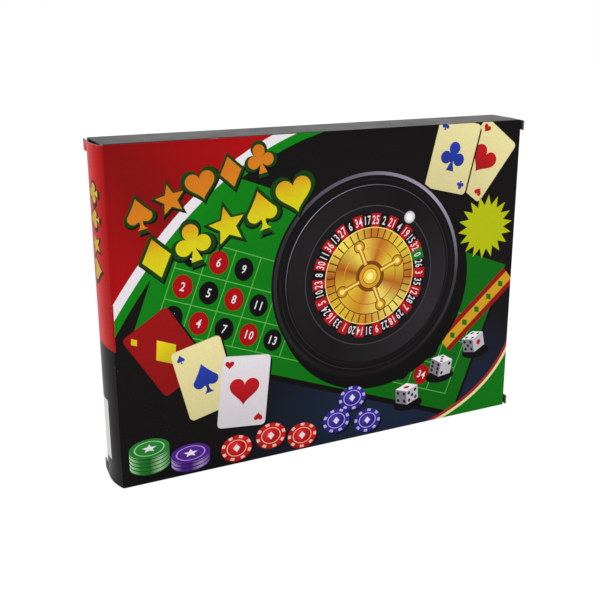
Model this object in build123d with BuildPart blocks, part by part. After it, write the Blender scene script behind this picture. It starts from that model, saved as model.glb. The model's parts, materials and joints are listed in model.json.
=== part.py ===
from build123d import *
from math import asin, cos, degrees, radians, sin, sqrt
import os

# A boxed roulette set: a reverse tuck end carton of printed board that stands on its long
# edge, with a moulded insert inside that carries the wheel and everything played with.
# +X runs to the right along the front, +Y from the front panel to the back panel, +Z up.
# The origin is the middle of the footprint, on the surface that the carton stands on.

# ------------------------------------------------------------------ driving sizes, in mm

# Carton, which is as large as what it holds
board = 1.0               # thickness of the paperboard
fold_radius = 1.2         # outside radius of a folded edge
crease_gap = 0.3          # room beside a crease or a seat
glue_tab_width = 15.0
closure_trim = 0.8        # a closure is this much shorter than the carton at each end
closure_bulge = 4.2       # how far the middle of a closure springs outwards
ear_spring = 5.0          # degrees past the middle at which a locked corner stays straight
ear_overhang = 0.8        # how far a locked corner reaches past the wall it lies behind
slit_length = 9.5         # slit lock at each end of a tuck crease
tuck_length = 16.0
tuck_toe_in = 16.0        # degrees by which a tuck leans away from the wall beside it
tuck_corner = 9.0
dust_length = 36.0
dust_root_gap = 3.6       # from the closure's crease to a dust flap's root
dust_taper = 0.45         # slope of a dust flap's edge beside the closure's crease
dust_setback = 6.5        # from the tuck crease to the dust flap's free edge
dust_corner = 5.0

# Insert and its pockets
tray_wall = 1.2
tray_corner = 18.0
tray_end_gap = 1.5        # from the tip of a tuck to the insert
pocket_gap = 0.3
pocket_lift = 1.0         # from the bottom of the deepest pocket to the insert's back edge
rib = 11.5                # width of insert between two pockets of the column
wheel_rib = 7.3           # width of insert between the rake and the wheel
felt_margin = 7.5         # from the folded felt to the insert's outline
leaflet_gap = 0.1         # behind the leaflet

# Wheel
bowl_radius = 120.0
bowl_height = 33.0
bowl_wall = 2.2
well_radius = 71.0
well_height = 12.0
track_height = 20.5
track_hollow = 2.0        # how far the ball track is dished
fence_lean = 4.9          # how far the fence round the ball track leans outwards
rim_roll = 5.0            # radius of the rolled rim
rim_clearance = 2.0       # from the rim to the front of the insert
pin_radius = 3.0
running_fit = 0.05
rotor_gap = 0.8           # between the rotor and the wall of its well
rotor_floor_gap = 1.2     # between the rotor and the floor of its well
rotor_thickness = 3.0
rotor_hub_radius = 8.0
rotor_border = 1.2        # width of rotor left outside the number ring
rotor_round = 0.75        # radius of the rotor's edge
ring_joint = 0.5          # between the cone and the number ring
ring_rise = 2.6           # how much higher the number ring is at its outer edge
ring_thickness = 1.6
cone_radius = 54.0
cone_lip = 1.2            # thickness and height of the lip round the pockets
pocket_run = 11.0         # from the cone's edge to the shoulder behind the pockets
pocket_floor = 1.6
fret_count = 37
fret_thickness = 0.9
fret_height = 5.0
shoulder_step = 0.9       # how much higher than the frets the shoulder stands
cone_height = 8.5
cone_top_radius = 11.0
pin_chamfer = 0.6
turret_foot = 1.0
turret_waist = 4.5
turret_neck_radius = 5.5
turret_collar = 6.0       # height of the collar that carries the arms
turret_collar_radius = 6.6
finial_radius = 3.6
finial_neck = 2.9
arm_reach = 25.0
arm_radius = 1.5
knob_radius = 2.8
knob_length = 6.0
knob_flare = 1.2          # length over which an arm widens into its knob
knob_nose = 1.8           # length of the knob's tapered end
knob_tip_radius = 1.4

# Loose pieces
chip_radius = 17.0
chip_thickness = 3.1
chip_gap = 0.1
chips_per_colour = 11
die_size = 13.0
die_chamfer = 1.1
die_count = 3
ball_radius = 7.0
ball_count = 2
note_width = 40.0
note_length = 88.0
note_pack_thickness = 9.0
stick_radius = 4.0
stick_round = 2.0
stick_length = 205.0
socket_length = 20.0
tenon_radius = 2.4
tenon_length = 12.0
head_width = 64.0
head_height = 27.0
head_thickness = 3.0
head_lip = 9.0
felt_thickness = 3.0
leaflet_width = 210.0
leaflet_height = 148.0
leaflet_thickness = 0.5

# ------------------------------------------------------------------ places worked out

# Each pocket is (width, height, depth), and holds its pieces with the pocket gap round them.
# The column is listed from the bottom up.
notes_size = (note_width + 2 * pocket_gap, note_length + 2 * pocket_gap, note_pack_thickness + pocket_gap)
dice_size = (
    die_count * (die_size + pocket_gap) + pocket_gap,
    die_size + 2 * pocket_gap,
    die_size + pocket_gap,
)
chip_pitch = chip_thickness + chip_gap
chips_size = (
    2 * (chip_radius + pocket_gap),
    3 * chips_per_colour * chip_pitch + 2 * pocket_gap,
    2 * chip_radius + pocket_gap,
)
balls_size = (
    ball_count * (2 * ball_radius + pocket_gap) + pocket_gap,
    2 * (ball_radius + pocket_gap),
    2 * ball_radius + pocket_gap,
)
column = (notes_size, dice_size, chips_size, balls_size)
head_size = (head_width + 2 * pocket_gap, head_height + 2 * pocket_gap, head_lip + pocket_gap)
stick_run = socket_length / 2 + stick_length + 2 * pocket_gap
stick_size = (2 * (stick_radius + pocket_gap), stick_run, 2 * (stick_radius + pocket_gap))
wheel_pocket_radius = bowl_radius + pocket_gap
wheel_pocket_depth = bowl_height + rim_clearance + crease_gap

# The insert is as large as its pockets. Its flat border is wide enough for a pocket's corner
# to stay inside its own rounded corner.
tray_border = tray_wall + tray_corner - (tray_corner - 2 * tray_wall) / sqrt(2)
pocket_step = rib + tray_wall
column_width = max(size[0] for size in column)
column_run = sum(size[1] for size in column) + (len(column) - 1) * pocket_step
rake_run = pocket_gap + head_height + stick_run
rake_to_wheel = stick_size[0] / 2 + 2 * tray_wall + wheel_rib + wheel_pocket_radius
tray_width = (
    2 * tray_border
    + column_width
    + tray_wall
    + head_size[0] / 2
    + rake_to_wheel
    + wheel_pocket_radius
)
tray_height = 2 * tray_border + max(column_run, rake_run, 2 * wheel_pocket_radius)
tray_depth = tray_wall + max(chips_size[2] + pocket_lift, wheel_pocket_depth)

# The carton is a board and a gap larger all round, with the tucks beyond the insert's ends,
# and the folded felt, the leaflet and the glue tab behind it.
case_width = tray_width + 2 * (tray_end_gap + tuck_length)
case_height = tray_height + 2 * (board + crease_gap)
case_depth = (
    tray_depth
    + felt_thickness
    + leaflet_thickness
    + leaflet_gap
    + 3 * (board + crease_gap)
)
half_width = case_width / 2
half_height = case_height / 2
half_depth = case_depth / 2

# The crease axes of a closure and its tuck, seen from above, at the left end
crease_out = board / 2 + crease_gap
crease_x = -half_width - crease_out
closure_crease_y = -half_depth + board / 2
tuck_crease_y = half_depth - board - crease_gap - board / 2

closure_span = tuck_crease_y - closure_crease_y
closure_radius = (closure_span**2 / 4 + closure_bulge**2) / (2 * closure_bulge)
closure_half_angle = degrees(asin(closure_span / 2 / closure_radius))
closure_centre = (crease_x + closure_radius - closure_bulge, closure_crease_y + closure_span / 2)

tray_half = tray_width / 2
tray_front = -half_depth + board + crease_gap
tray_back = tray_front + tray_depth
tray_low = board + crease_gap
pocket_corner = 3 * pocket_gap    # still clear of the square corner of what is packed there

column_x = -tray_half + tray_border + column_width / 2
column_low = tray_low + tray_border
head_x = column_x + (column_width + head_size[0]) / 2 + tray_wall
wheel_x = head_x + rake_to_wheel
wheel_z = half_height
bowl_back = tray_back - tray_wall - crease_gap


def left_end(angle):
    """Point on the middle of the left closure, at an angle past its widest place."""
    return (
        closure_centre[0] - closure_radius * cos(radians(angle)),
        closure_centre[1] + closure_radius * sin(radians(angle)),
    )


def save(part, name):
    """Name a finished piece and write it to its own file."""
    part.label = name
    export_step(part, f"parts/{name}.step")


os.makedirs("parts", exist_ok=True)

# ------------------------------------------------------------------ sleeve of the carton

sleeve_end = Plane(origin=(-half_width, 0, half_height), x_dir=(0, 1, 0), z_dir=(1, 0, 0))
mitre = 2 * fold_radius + board


def sleeve_wall(first, second):
    """One wall of the folded sleeve, between two of its corners, with a mitre at each fold.

    A corner is given by its signs: front -1 or back 1, then low -1 or high 1.
    """
    wedge = [
        (side * (half_depth - inset), end * (half_height - inset))
        for side, end, inset in ((*first, 0), (*second, 0), (*second, mitre), (*first, mitre))
    ]
    with BuildPart() as wall:
        with BuildSketch(sleeve_end):
            RectangleRounded(case_depth, case_height, fold_radius)
            Rectangle(case_depth - 2 * board, case_height - 2 * board, mode=Mode.SUBTRACT)
            with BuildLine():
                Polyline(*wedge, close=True)
            make_face(mode=Mode.INTERSECT)
        extrude(amount=case_width)
    return wall.part


FRONT_LOW, FRONT_HIGH, BACK_LOW, BACK_HIGH = (-1, -1), (-1, 1), (1, -1), (1, 1)
save(sleeve_wall(FRONT_LOW, FRONT_HIGH), "front_panel")
save(sleeve_wall(BACK_LOW, BACK_HIGH), "back_panel")
save(sleeve_wall(FRONT_HIGH, BACK_HIGH), "top_panel")
save(sleeve_wall(FRONT_LOW, BACK_LOW), "bottom_panel")

# The glue tab turns up from the bottom panel and is glued inside the back panel.
with BuildPart() as glue_tab:
    tab_half = half_width - tuck_length
    with BuildSketch(Plane.XZ.offset(-half_depth + board)):
        with BuildLine():
            Polyline(
                (-tab_half, board),
                (tab_half, board),
                (tab_half - glue_tab_width, board + glue_tab_width),
                (-tab_half + glue_tab_width, board + glue_tab_width),
                close=True,
            )
        make_face()
    extrude(amount=board)
save(glue_tab.part, "glue_tab")

# ------------------------------------------------------------------ flaps of the left end

# The closure is one springy strip. Its middle follows the full arc from crease to crease,
# and past the slits its corners stay straight and stand proud of the wall behind them.
with BuildPart() as left_closure:
    with BuildSketch(Plane.XY.offset(slit_length)):
        with BuildLine(mode=Mode.PRIVATE) as bowed:
            ThreePointArc(left_end(-closure_half_angle), left_end(0), left_end(closure_half_angle))
        SlotArc(bowed.wire(), board)
    extrude(amount=case_height - 2 * slit_length)
    ear_start = left_end(ear_spring)
    ear_tip_y = half_depth + ear_overhang
    ear_run = ear_tip_y - ear_start[1]
    ear_tip = (ear_start[0] + ear_run * sin(radians(ear_spring)) / cos(radians(ear_spring)), ear_tip_y)
    for ear_base in (closure_trim, case_height - slit_length):
        with BuildSketch(Plane.XY.offset(ear_base)):
            with BuildLine(mode=Mode.PRIVATE) as sprung:
                ThreePointArc(
                    left_end(-closure_half_angle),
                    left_end((ear_spring - closure_half_angle) / 2),
                    ear_start,
                )
                Line(ear_start, ear_tip)
            SlotArc(sprung.wire(), board)
        extrude(amount=slit_length - closure_trim)
save(left_closure.part, "left_closure")

# The tuck slides in beside the back panel, toed in so that it clears the panel as it comes out.
toe = radians(tuck_toe_in)
tuck_plane = Plane(
    origin=(crease_x, tuck_crease_y, half_height),
    x_dir=(cos(toe), -sin(toe), 0),
    z_dir=(-sin(toe), -cos(toe), 0),
)
with BuildPart() as left_tuck:
    tuck_height = case_height - 2 * (slit_length + crease_gap + board)
    with BuildSketch(tuck_plane) as tuck_outline:
        with Locations(((crease_out + tuck_length) / 2, 0)):
            Rectangle(tuck_length - crease_out, tuck_height)
        fillet(tuck_outline.vertices().group_by(Axis.X)[-1], tuck_corner)
    extrude(amount=board / 2, both=True)
save(left_tuck.part, "left_tuck")

# A dust flap's shoulder lies behind the closure's locked corner. Above it the edge is set
# back, so that the tuck passes, and its other edge slopes away from the closure's crease.
root_y = closure_crease_y + dust_root_gap
shoulder_y = tuck_crease_y
free_y = tuck_crease_y - dust_setback
shoulder_height = slit_length - board / 2 - crease_gap - dust_setback / 2
flap_plane = Plane(origin=(crease_x, 0, board / 2), x_dir=(0, 1, 0), z_dir=(1, 0, 0))
with BuildPart() as left_bottom_dust_flap:
    with BuildSketch(flap_plane) as flap_outline:
        with BuildLine():
            Polyline(
                (root_y, 0),
                (shoulder_y, 0),
                (shoulder_y, shoulder_height),
                (free_y, shoulder_height + dust_setback),
                (free_y, dust_length),
                (root_y + dust_taper * dust_length, dust_length),
                close=True,
            )
        make_face()
        fillet(flap_outline.vertices().group_by(Axis.Y)[-1], dust_corner)
    extrude(amount=board / 2, both=True)
    with BuildSketch(Plane.XZ.offset(-root_y)):
        with Locations((crease_x, board / 2)):
            Circle(board / 2)
    extrude(amount=root_y - shoulder_y)
save(left_bottom_dust_flap.part, "left_bottom_dust_flap")

with BuildPart() as left_top_dust_flap:
    add(left_bottom_dust_flap.part)
    mirror(about=Plane.XY.offset(half_height), mode=Mode.REPLACE)
save(left_top_dust_flap.part, "left_top_dust_flap")

# ------------------------------------------------------------------ flaps of the right end

# In a reverse tuck carton the right end is the left one turned half a turn, so that its
# closure is hinged on the back panel and tucks in behind the front panel.
for left_piece, right_name in (
    (left_closure, "right_closure"),
    (left_tuck, "right_tuck"),
    (left_bottom_dust_flap, "right_bottom_dust_flap"),
    (left_top_dust_flap, "right_top_dust_flap"),
):
    with BuildPart() as right_piece:
        add(left_piece.part, rotation=(0, 0, 180))
    save(right_piece.part, right_name)

# ------------------------------------------------------------------ insert

# Pockets down the left side: notes at the bottom, then dice, chips and balls.
notes_z = column_low + notes_size[1] / 2
dice_z = notes_z + (notes_size[1] + dice_size[1]) / 2 + pocket_step
chips_z = dice_z + (dice_size[1] + chips_size[1]) / 2 + pocket_step
balls_z = chips_z + (chips_size[1] + balls_size[1]) / 2 + pocket_step

# The rake lies between the column and the wheel, head down.
head_z = column_low + head_size[1] / 2
stick_z = head_z + (head_height + stick_run) / 2

pockets = (
    (column_x, notes_z, notes_size),
    (column_x, dice_z, dice_size),
    (column_x, chips_z, chips_size),
    (column_x, balls_z, balls_size),
    (head_x, head_z, head_size),
    (head_x, stick_z, stick_size),
)
front_plane = Plane(origin=(0, tray_front, 0), x_dir=(1, 0, 0), z_dir=(0, 1, 0))
wheel_floor_depth = tray_depth - tray_wall


def tray_sketch(size, x, z, corner_radius):
    """A rounded pocket outline on the front plane, whose Y runs downwards."""
    with BuildSketch(front_plane) as outline:
        with Locations((x, -z)):
            RectangleRounded(size[0], size[1], corner_radius)
    return outline.sketch


def pocket_solid(wall, deepen):
    """All pockets together, grown by a wall on every side and deepened by the same wall."""
    with BuildPart() as hollow:
        for x, z, size in pockets:
            grown = (size[0] + 2 * wall, size[1] + 2 * wall)
            extrude(tray_sketch(grown, x, z, pocket_corner + wall), amount=size[2] + deepen)
        with BuildSketch(front_plane):
            with Locations((wheel_x, -wheel_z)):
                Circle(wheel_pocket_radius + wall)
        extrude(amount=wheel_floor_depth + deepen)
    return hollow.part


pocket_shells = pocket_solid(tray_wall, tray_wall)
pocket_hollows = pocket_solid(0, 0)
with BuildPart() as insert_tray:
    tray_inside = (tray_width - 2 * tray_wall, tray_height - 2 * tray_wall)
    extrude(tray_sketch((tray_width, tray_height), 0, half_height, tray_corner), amount=tray_depth)
    with BuildSketch(front_plane.offset(tray_wall)):
        with Locations((0, -half_height)):
            RectangleRounded(*tray_inside, tray_corner - tray_wall)
    extrude(amount=tray_depth, mode=Mode.SUBTRACT)
    add(pocket_shells)
    add(pocket_hollows, mode=Mode.SUBTRACT)
save(insert_tray.part, "insert_tray")

# ------------------------------------------------------------------ wheel

# Every piece of the wheel is turned about one axis that points out of the front of the
# insert. A section is drawn as (distance from the axis, height above the bowl's back).
wheel_section = Plane(origin=(wheel_x, bowl_back, wheel_z), x_dir=(1, 0, 0), z_dir=(0, 0, -1))
wheel_axis = Axis((wheel_x, bowl_back, wheel_z), (0, -1, 0))
wheel_plane = Plane(origin=(wheel_x, bowl_back, wheel_z), x_dir=(1, 0, 0), z_dir=(0, -1, 0))

# The bowl is one moulded skin: floor, well, sloping ball track, fence, rolled rim and skirt.
skin = bowl_wall / 2
with BuildPart() as wheel_bowl:
    fence_radius = bowl_radius - skin - 2 * rim_roll
    track_radius = fence_radius - fence_lean
    rim_top = bowl_height - skin
    with BuildSketch(wheel_section):
        with BuildLine(mode=Mode.PRIVATE) as bowl_line:
            hub = Line((pin_radius + running_fit + skin, skin), (well_radius + skin, skin))
            well = Line(hub @ 1, (well_radius + skin, well_height))
            track = SagittaArc(well @ 1, (track_radius, track_height), track_hollow)
            fence = Line(track @ 1, (fence_radius, rim_top - rim_roll))
            roll = ThreePointArc(
                fence @ 1,
                (fence_radius + rim_roll, rim_top),
                (fence_radius + 2 * rim_roll, rim_top - rim_roll),
            )
            Line(roll @ 1, (fence_radius + rim_roll, skin))
        SlotArc(bowl_line.wire(), bowl_wall)
    revolve(axis=wheel_axis)
save(wheel_bowl.part, "wheel_bowl")

# The axle is a headed steel pin, pushed through the bowl's floor from behind.
rotor_low = bowl_wall + rotor_floor_gap
rotor_high = rotor_low + rotor_thickness
cone_low = rotor_high
cone_peak = cone_low + pocket_floor + cone_height
pin_top = cone_peak - bowl_wall
with BuildPart() as axle_pin:
    with BuildSketch(wheel_plane):
        Circle(pin_radius)
    extrude(amount=pin_top)
    with BuildSketch(wheel_plane.offset(bowl_wall)):
        Circle(rotor_hub_radius)
    extrude(amount=rotor_floor_gap - crease_gap)
    chamfer(axle_pin.edges().group_by(Axis.Y)[0], pin_chamfer)
save(axle_pin.part, "axle_pin")

# The rotor disc turns on the pin. A low ring on it centres the number ring.
rotor_radius = well_radius - rotor_gap
ring_outer = rotor_radius - rotor_border
ring_inner = cone_radius + ring_joint
bore_radius = pin_radius + running_fit
with BuildPart() as rotor_disc:
    with BuildSketch(wheel_section):
        with BuildLine():
            Polyline(
                (bore_radius, rotor_low),
                (rotor_radius, rotor_low),
                (rotor_radius, rotor_high),
                (bore_radius, rotor_high),
                close=True,
            )
        make_face()
    revolve(axis=wheel_axis)
    fillet(rotor_disc.edges().filter_by(GeomType.CIRCLE).sort_by(SortBy.RADIUS)[-1], rotor_round)
save(rotor_disc.part, "rotor_disc")

# The number ring is a shallow dish that rises outwards.
with BuildPart() as number_ring:
    with BuildSketch(wheel_section):
        with BuildLine():
            Polyline(
                (ring_inner, rotor_high),
                (ring_outer, rotor_high),
                (ring_outer, rotor_high + ring_thickness + ring_rise),
                (ring_inner, rotor_high + ring_thickness),
                close=True,
            )
        make_face()
    revolve(axis=wheel_axis)
save(number_ring.part, "number_ring")

# The cone carries one ring of pockets between its lip and its shoulder, parted by frets that
# run into both, and rises to the turret's seat.
with BuildPart() as wheel_cone:
    pocket_top = cone_low + pocket_floor
    shoulder_high = pocket_top + fret_height + shoulder_step
    shoulder_radius = cone_radius - pocket_run
    with BuildSketch(wheel_section):
        with BuildLine():
            Polyline(
                (bore_radius, cone_low),
                (cone_radius, cone_low),
                (cone_radius, pocket_top + cone_lip),
                (cone_radius - cone_lip, pocket_top + cone_lip),
                (cone_radius - cone_lip, pocket_top),
                (shoulder_radius, pocket_top),
                (shoulder_radius, shoulder_high),
                (cone_top_radius, cone_peak),
                (bore_radius, cone_peak),
                close=True,
            )
        make_face()
    revolve(axis=wheel_axis)
    with BuildSketch(wheel_plane.offset(cone_low + pocket_floor / 2)):
        with PolarLocations(cone_radius - (pocket_run + cone_lip) / 2, fret_count):
            Rectangle(pocket_run, fret_thickness)
    extrude(amount=pocket_floor / 2 + fret_height)
save(wheel_cone.part, "wheel_cone")

# The turret is one moulding: foot, waist, collar with four knobbed arms, and round finial.
with BuildPart() as turret:
    foot_high = cone_peak + turret_foot
    collar_low = foot_high + turret_waist
    collar_high = collar_low + turret_collar
    finial_centre = collar_high + sqrt(finial_radius**2 - finial_neck**2)
    with BuildSketch(wheel_section):
        with BuildLine():
            foot = Polyline((0, cone_peak), (cone_top_radius, cone_peak), (cone_top_radius, foot_high))
            waist = Line(foot @ 1, (turret_neck_radius, foot_high + turret_waist / 2))
            collar = Polyline(
                waist @ 1,
                (turret_neck_radius, collar_low),
                (turret_collar_radius, collar_low),
                (turret_collar_radius, collar_high),
                (finial_neck, collar_high),
            )
            finial = ThreePointArc(
                collar @ 1, (finial_radius, finial_centre), (0, finial_centre + finial_radius)
            )
            Line(finial @ 1, foot @ 0)
        make_face()
    revolve(axis=wheel_axis)
    arm_centre = Vector(wheel_x, bowl_back - (collar_low + collar_high) / 2, wheel_z)
    for turn in range(4):
        across, up = cos(radians(90 * turn)), sin(radians(90 * turn))
        with BuildSketch(Plane(origin=arm_centre, x_dir=(0, -1, 0), z_dir=(-up, 0, across))):
            with BuildLine():
                Polyline(
                    (0, 0),
                    (arm_radius, 0),
                    (arm_radius, arm_reach - knob_length),
                    (knob_radius, arm_reach - knob_length + knob_flare),
                    (knob_radius, arm_reach - knob_nose),
                    (knob_tip_radius, arm_reach),
                    (0, arm_reach),
                    close=True,
                )
            make_face()
        revolve(axis=Axis(arm_centre, (across, 0, up)))
save(turret.part, "turret")

# ------------------------------------------------------------------ loose pieces


def pocket_bed(z, size):
    """Height of the lower wall of a pocket, where what is packed in it rests."""
    return z - size[1] / 2 + pocket_gap


# Chips lie on edge in one roll, a colour after another.
for colour, chip_name in enumerate(("green_chips", "purple_chips", "red_chips")):
    roll_low = pocket_bed(chips_z, chips_size) + colour * chips_per_colour * chip_pitch
    with BuildPart() as chips:
        for place in range(chips_per_colour):
            with BuildSketch(Plane.XY.offset(roll_low + place * chip_pitch)):
                with Locations((column_x, tray_front + pocket_gap + chip_radius)):
                    Circle(chip_radius)
            extrude(amount=chip_thickness)
    save(chips.part, chip_name)

with BuildPart() as dice:
    die_pitch = die_size + pocket_gap
    for place in range(die_count):
        die_x = column_x + (place - (die_count - 1) / 2) * die_pitch
        with Locations((die_x, tray_front + die_pitch / 2, pocket_bed(dice_z, dice_size) + die_size / 2)):
            Box(die_size, die_size, die_size)
    chamfer(dice.edges(), die_chamfer)
save(dice.part, "dice")

with BuildPart() as roulette_balls:
    ball_pitch = 2 * ball_radius + pocket_gap
    for place in range(ball_count):
        ball_x = column_x + (place - (ball_count - 1) / 2) * ball_pitch
        with Locations((ball_x, tray_front + ball_pitch / 2, pocket_bed(balls_z, balls_size) + ball_radius)):
            Sphere(ball_radius)
save(roulette_balls.part, "roulette_balls")

# Play notes, squared up in one pack under a paper band.
with BuildPart() as note_pack:
    with BuildSketch(front_plane):
        with Locations((column_x, -pocket_bed(notes_z, notes_size) - note_length / 2)):
            Rectangle(note_width, note_length)
    extrude(amount=note_pack_thickness)
save(note_pack.part, "note_pack")

# The rake: a head with turned-in ends and a socket, and a round stick with a thinner tenon.
stick_y = tray_front + pocket_gap + stick_radius
head_low = pocket_bed(head_z, head_size)
head_high = head_low + head_height
socket_high = head_high + socket_length / 2
with BuildPart() as rake_head:
    with BuildSketch(Plane.XY.offset(head_low)):
        with Locations((head_x, tray_front + head_lip - head_thickness / 2)):
            Rectangle(head_width, head_thickness)
        for end in (-1, 1):
            with Locations((head_x + end * (head_width - head_thickness) / 2, tray_front + head_lip / 2)):
                Rectangle(head_thickness, head_lip)
    extrude(amount=head_height)
    with BuildSketch(Plane.XY.offset(socket_high - socket_length)):
        with Locations((head_x, stick_y)):
            Circle(stick_radius)
    extrude(amount=socket_length)
    with BuildSketch(Plane.XY.offset(socket_high - tenon_length)):
        with Locations((head_x, stick_y)):
            Circle(tenon_radius + running_fit)
    extrude(amount=tenon_length, mode=Mode.SUBTRACT)
save(rake_head.part, "rake_head")
with BuildPart() as rake_stick:
    with BuildSketch(Plane.XY.offset(socket_high)):
        with Locations((head_x, stick_y)):
            Circle(stick_radius)
    extrude(amount=stick_length)
    fillet(rake_stick.edges().group_by(Axis.Z)[-1], stick_round)
    with BuildSketch(Plane.XY.offset(socket_high - tenon_length + pocket_gap)):
        with Locations((head_x, stick_y)):
            Circle(tenon_radius)
    extrude(amount=tenon_length - pocket_gap)
save(rake_stick.part, "rake_stick")

# The felt layout is folded flat behind the insert, with the leaflet of rules behind it.
felt_front = tray_back + crease_gap
felt_height = tray_height - 2 * felt_margin
with BuildPart() as felt_layout:
    with BuildSketch(Plane.XZ.offset(-felt_front)):
        with Locations((0, tray_low + felt_height / 2)):
            RectangleRounded(tray_width - 2 * felt_margin, felt_height, tray_corner)
    extrude(amount=-felt_thickness)
save(felt_layout.part, "felt_layout")

leaflet_low = board + glue_tab_width + crease_gap
with BuildPart() as rules_leaflet:
    with BuildSketch(Plane.XZ.offset(-felt_front - felt_thickness - crease_gap)):
        with Locations((0, leaflet_low + leaflet_height / 2)):
            Rectangle(leaflet_width, leaflet_height)
    extrude(amount=-leaflet_thickness)
save(rules_leaflet.part, "rules_leaflet")
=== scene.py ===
import json
import math

import bmesh
import bpy
import numpy as np
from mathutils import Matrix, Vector
from mathutils.geometry import delaunay_2d_cdt


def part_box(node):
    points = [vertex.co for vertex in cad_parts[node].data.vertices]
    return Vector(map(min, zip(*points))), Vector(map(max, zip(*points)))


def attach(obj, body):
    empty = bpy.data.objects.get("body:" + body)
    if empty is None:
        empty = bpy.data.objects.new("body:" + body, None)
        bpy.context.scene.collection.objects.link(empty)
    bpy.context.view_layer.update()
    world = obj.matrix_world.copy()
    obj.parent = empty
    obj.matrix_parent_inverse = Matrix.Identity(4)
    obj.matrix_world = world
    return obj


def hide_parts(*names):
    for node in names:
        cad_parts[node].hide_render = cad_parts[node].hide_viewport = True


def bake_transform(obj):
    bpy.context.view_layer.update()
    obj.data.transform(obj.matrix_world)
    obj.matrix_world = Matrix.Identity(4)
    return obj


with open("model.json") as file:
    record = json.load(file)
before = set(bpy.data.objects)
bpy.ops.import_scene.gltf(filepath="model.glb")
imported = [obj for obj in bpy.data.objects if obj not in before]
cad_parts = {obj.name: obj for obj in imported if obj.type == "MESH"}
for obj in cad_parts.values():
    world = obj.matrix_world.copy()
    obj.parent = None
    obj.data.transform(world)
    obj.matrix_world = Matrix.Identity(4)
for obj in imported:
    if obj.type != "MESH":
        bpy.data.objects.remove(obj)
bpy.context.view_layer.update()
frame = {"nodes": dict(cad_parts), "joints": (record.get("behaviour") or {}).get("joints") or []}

# ---------------------------------------------------------------- studio
# The carton stands on a white sweep, in soft light from a wide lamp above the viewer and a
# weaker one at the left. The surroundings are white, so the varnish has white to reflect.

def placed(name, data):
    """New object of the scene, at the origin and unturned."""
    thing = bpy.data.objects.new(name, data)
    bpy.context.scene.collection.objects.link(thing)
    return thing


def mesh_of(name, points, faces):
    """Mesh from points in metres, and from faces that are rows of point numbers."""
    mesh = bpy.data.meshes.new(name)
    mesh.from_pydata(points.tolist(), [], faces.tolist())
    return mesh


camera = placed("camera", bpy.data.cameras.new("camera"))
camera.location = (-0.3673, -0.7302, 0.3868)
camera.rotation_euler = (math.radians(72.5012), math.radians(-0.659), math.radians(-28.1207))
camera.data.lens = 58.24
camera.data.shift_x = -0.08
bpy.context.scene.camera = camera
bpy.context.scene.view_settings.view_transform = "Standard"


def node_tree(owner):
    """Empty node tree of a material or world."""
    owner.use_nodes = True
    tree = owner.node_tree
    tree.nodes.clear()
    return tree


def add_node(tree, kind, inputs=None, **settings):
    """New node with its settings, and with its inputs set to numbers or joined to sockets."""
    node = tree.nodes.new(kind)
    for key, value in settings.items():
        setattr(node, key, value)
    for key, value in (inputs or {}).items():
        if isinstance(value, bpy.types.NodeSocket):
            tree.links.new(value, node.inputs[key])
        else:
            node.inputs[key].default_value = value
    return node


def seen_directly(tree):
    """1 for rays that see the surroundings directly or through glass."""
    path = add_node(tree, "ShaderNodeLightPath")
    return add_node(tree, "ShaderNodeMath", {0: path.outputs["Is Camera Ray"],
                                             1: path.outputs["Is Transmission Ray"]}, operation="MAXIMUM")


AMBIENT = 0.6
world = bpy.data.worlds.new("surroundings")
bpy.context.scene.world = world
tree = node_tree(world)
level = add_node(tree, "ShaderNodeMix", {"Factor": seen_directly(tree).outputs[0], "A": AMBIENT, "B": 1.0},
                 data_type="FLOAT")
background = add_node(tree, "ShaderNodeBackground", {"Color": (1, 1, 1, 1), "Strength": level.outputs[0]})
add_node(tree, "ShaderNodeOutputWorld", {"Surface": background.outputs[0]})


def soft_lamp(name, place, aim, size, power):
    """Square area lamp at a place, turned towards the point that it lights."""
    lamp = placed(name, bpy.data.lights.new(name, "AREA"))
    lamp.data.size = size
    lamp.data.energy = power
    lamp.location = place
    lamp.rotation_euler = (Vector(aim) - Vector(place)).to_track_quat("-Z", "Y").to_euler()


soft_lamp("key_lamp", (0.1, -1.7, 1.5), (0, 0, 0.14), 1.6, 17)
soft_lamp("side_lamp", (-1.8, -0.5, 0.9), (-0.1, 0, 0.14), 1.2, 8)

FLOOR_REACH = 6.0
SWEEP_SHADE, SWEEP_FILL = 0.45, 0.75        # share of shadow and of even white that the viewer sees
SIGNS = np.array([(-1, -1), (1, -1), (1, 1), (-1, 1)])      # the corners of a square, in order
floor_mesh = mesh_of("floor", np.c_[FLOOR_REACH * SIGNS, np.zeros(4)], np.arange(4)[None])
floor = placed("floor", floor_mesh)
sweep = bpy.data.materials.new("sweep_paper")
tree = node_tree(sweep)
direct = add_node(tree, "ShaderNodeLightPath").outputs["Is Camera Ray"]
tone = add_node(tree, "ShaderNodeMix", {"Factor": direct, "A": 0.9, "B": SWEEP_SHADE}, data_type="FLOAT")
fill = add_node(tree, "ShaderNodeMix", {"Factor": direct, "A": 0.0, "B": SWEEP_FILL}, data_type="FLOAT")
paper = add_node(tree, "ShaderNodeBsdfDiffuse", {"Color": tone.outputs[0]})
light = add_node(tree, "ShaderNodeEmission", {"Color": (1, 1, 1, 1), "Strength": fill.outputs[0]})
both = add_node(tree, "ShaderNodeAddShader", {0: paper.outputs[0], 1: light.outputs[0]})
add_node(tree, "ShaderNodeOutputMaterial", {"Surface": both.outputs[0]})
floor_mesh.materials.append(sweep)

# ---------------------------------------------------------------- printed board
# The carton is one blank of grey-backed board, printed, varnished, creased and folded; its back's
# dark grey is partly painted shade. A print is drawn flat in millimetres as overlapping shapes, cut
# into triangles along all of their outlines, and laid on the folded board with the topmost shape's
# ink at each corner.

MM = 0.001
BOARD = 1.0
FOLD_RADIUS = 1.2


def box_mm(node):
    """Lowest and highest corner of a CAD node's box, in millimetres."""
    return [np.array(corner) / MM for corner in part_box(node)]


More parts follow.
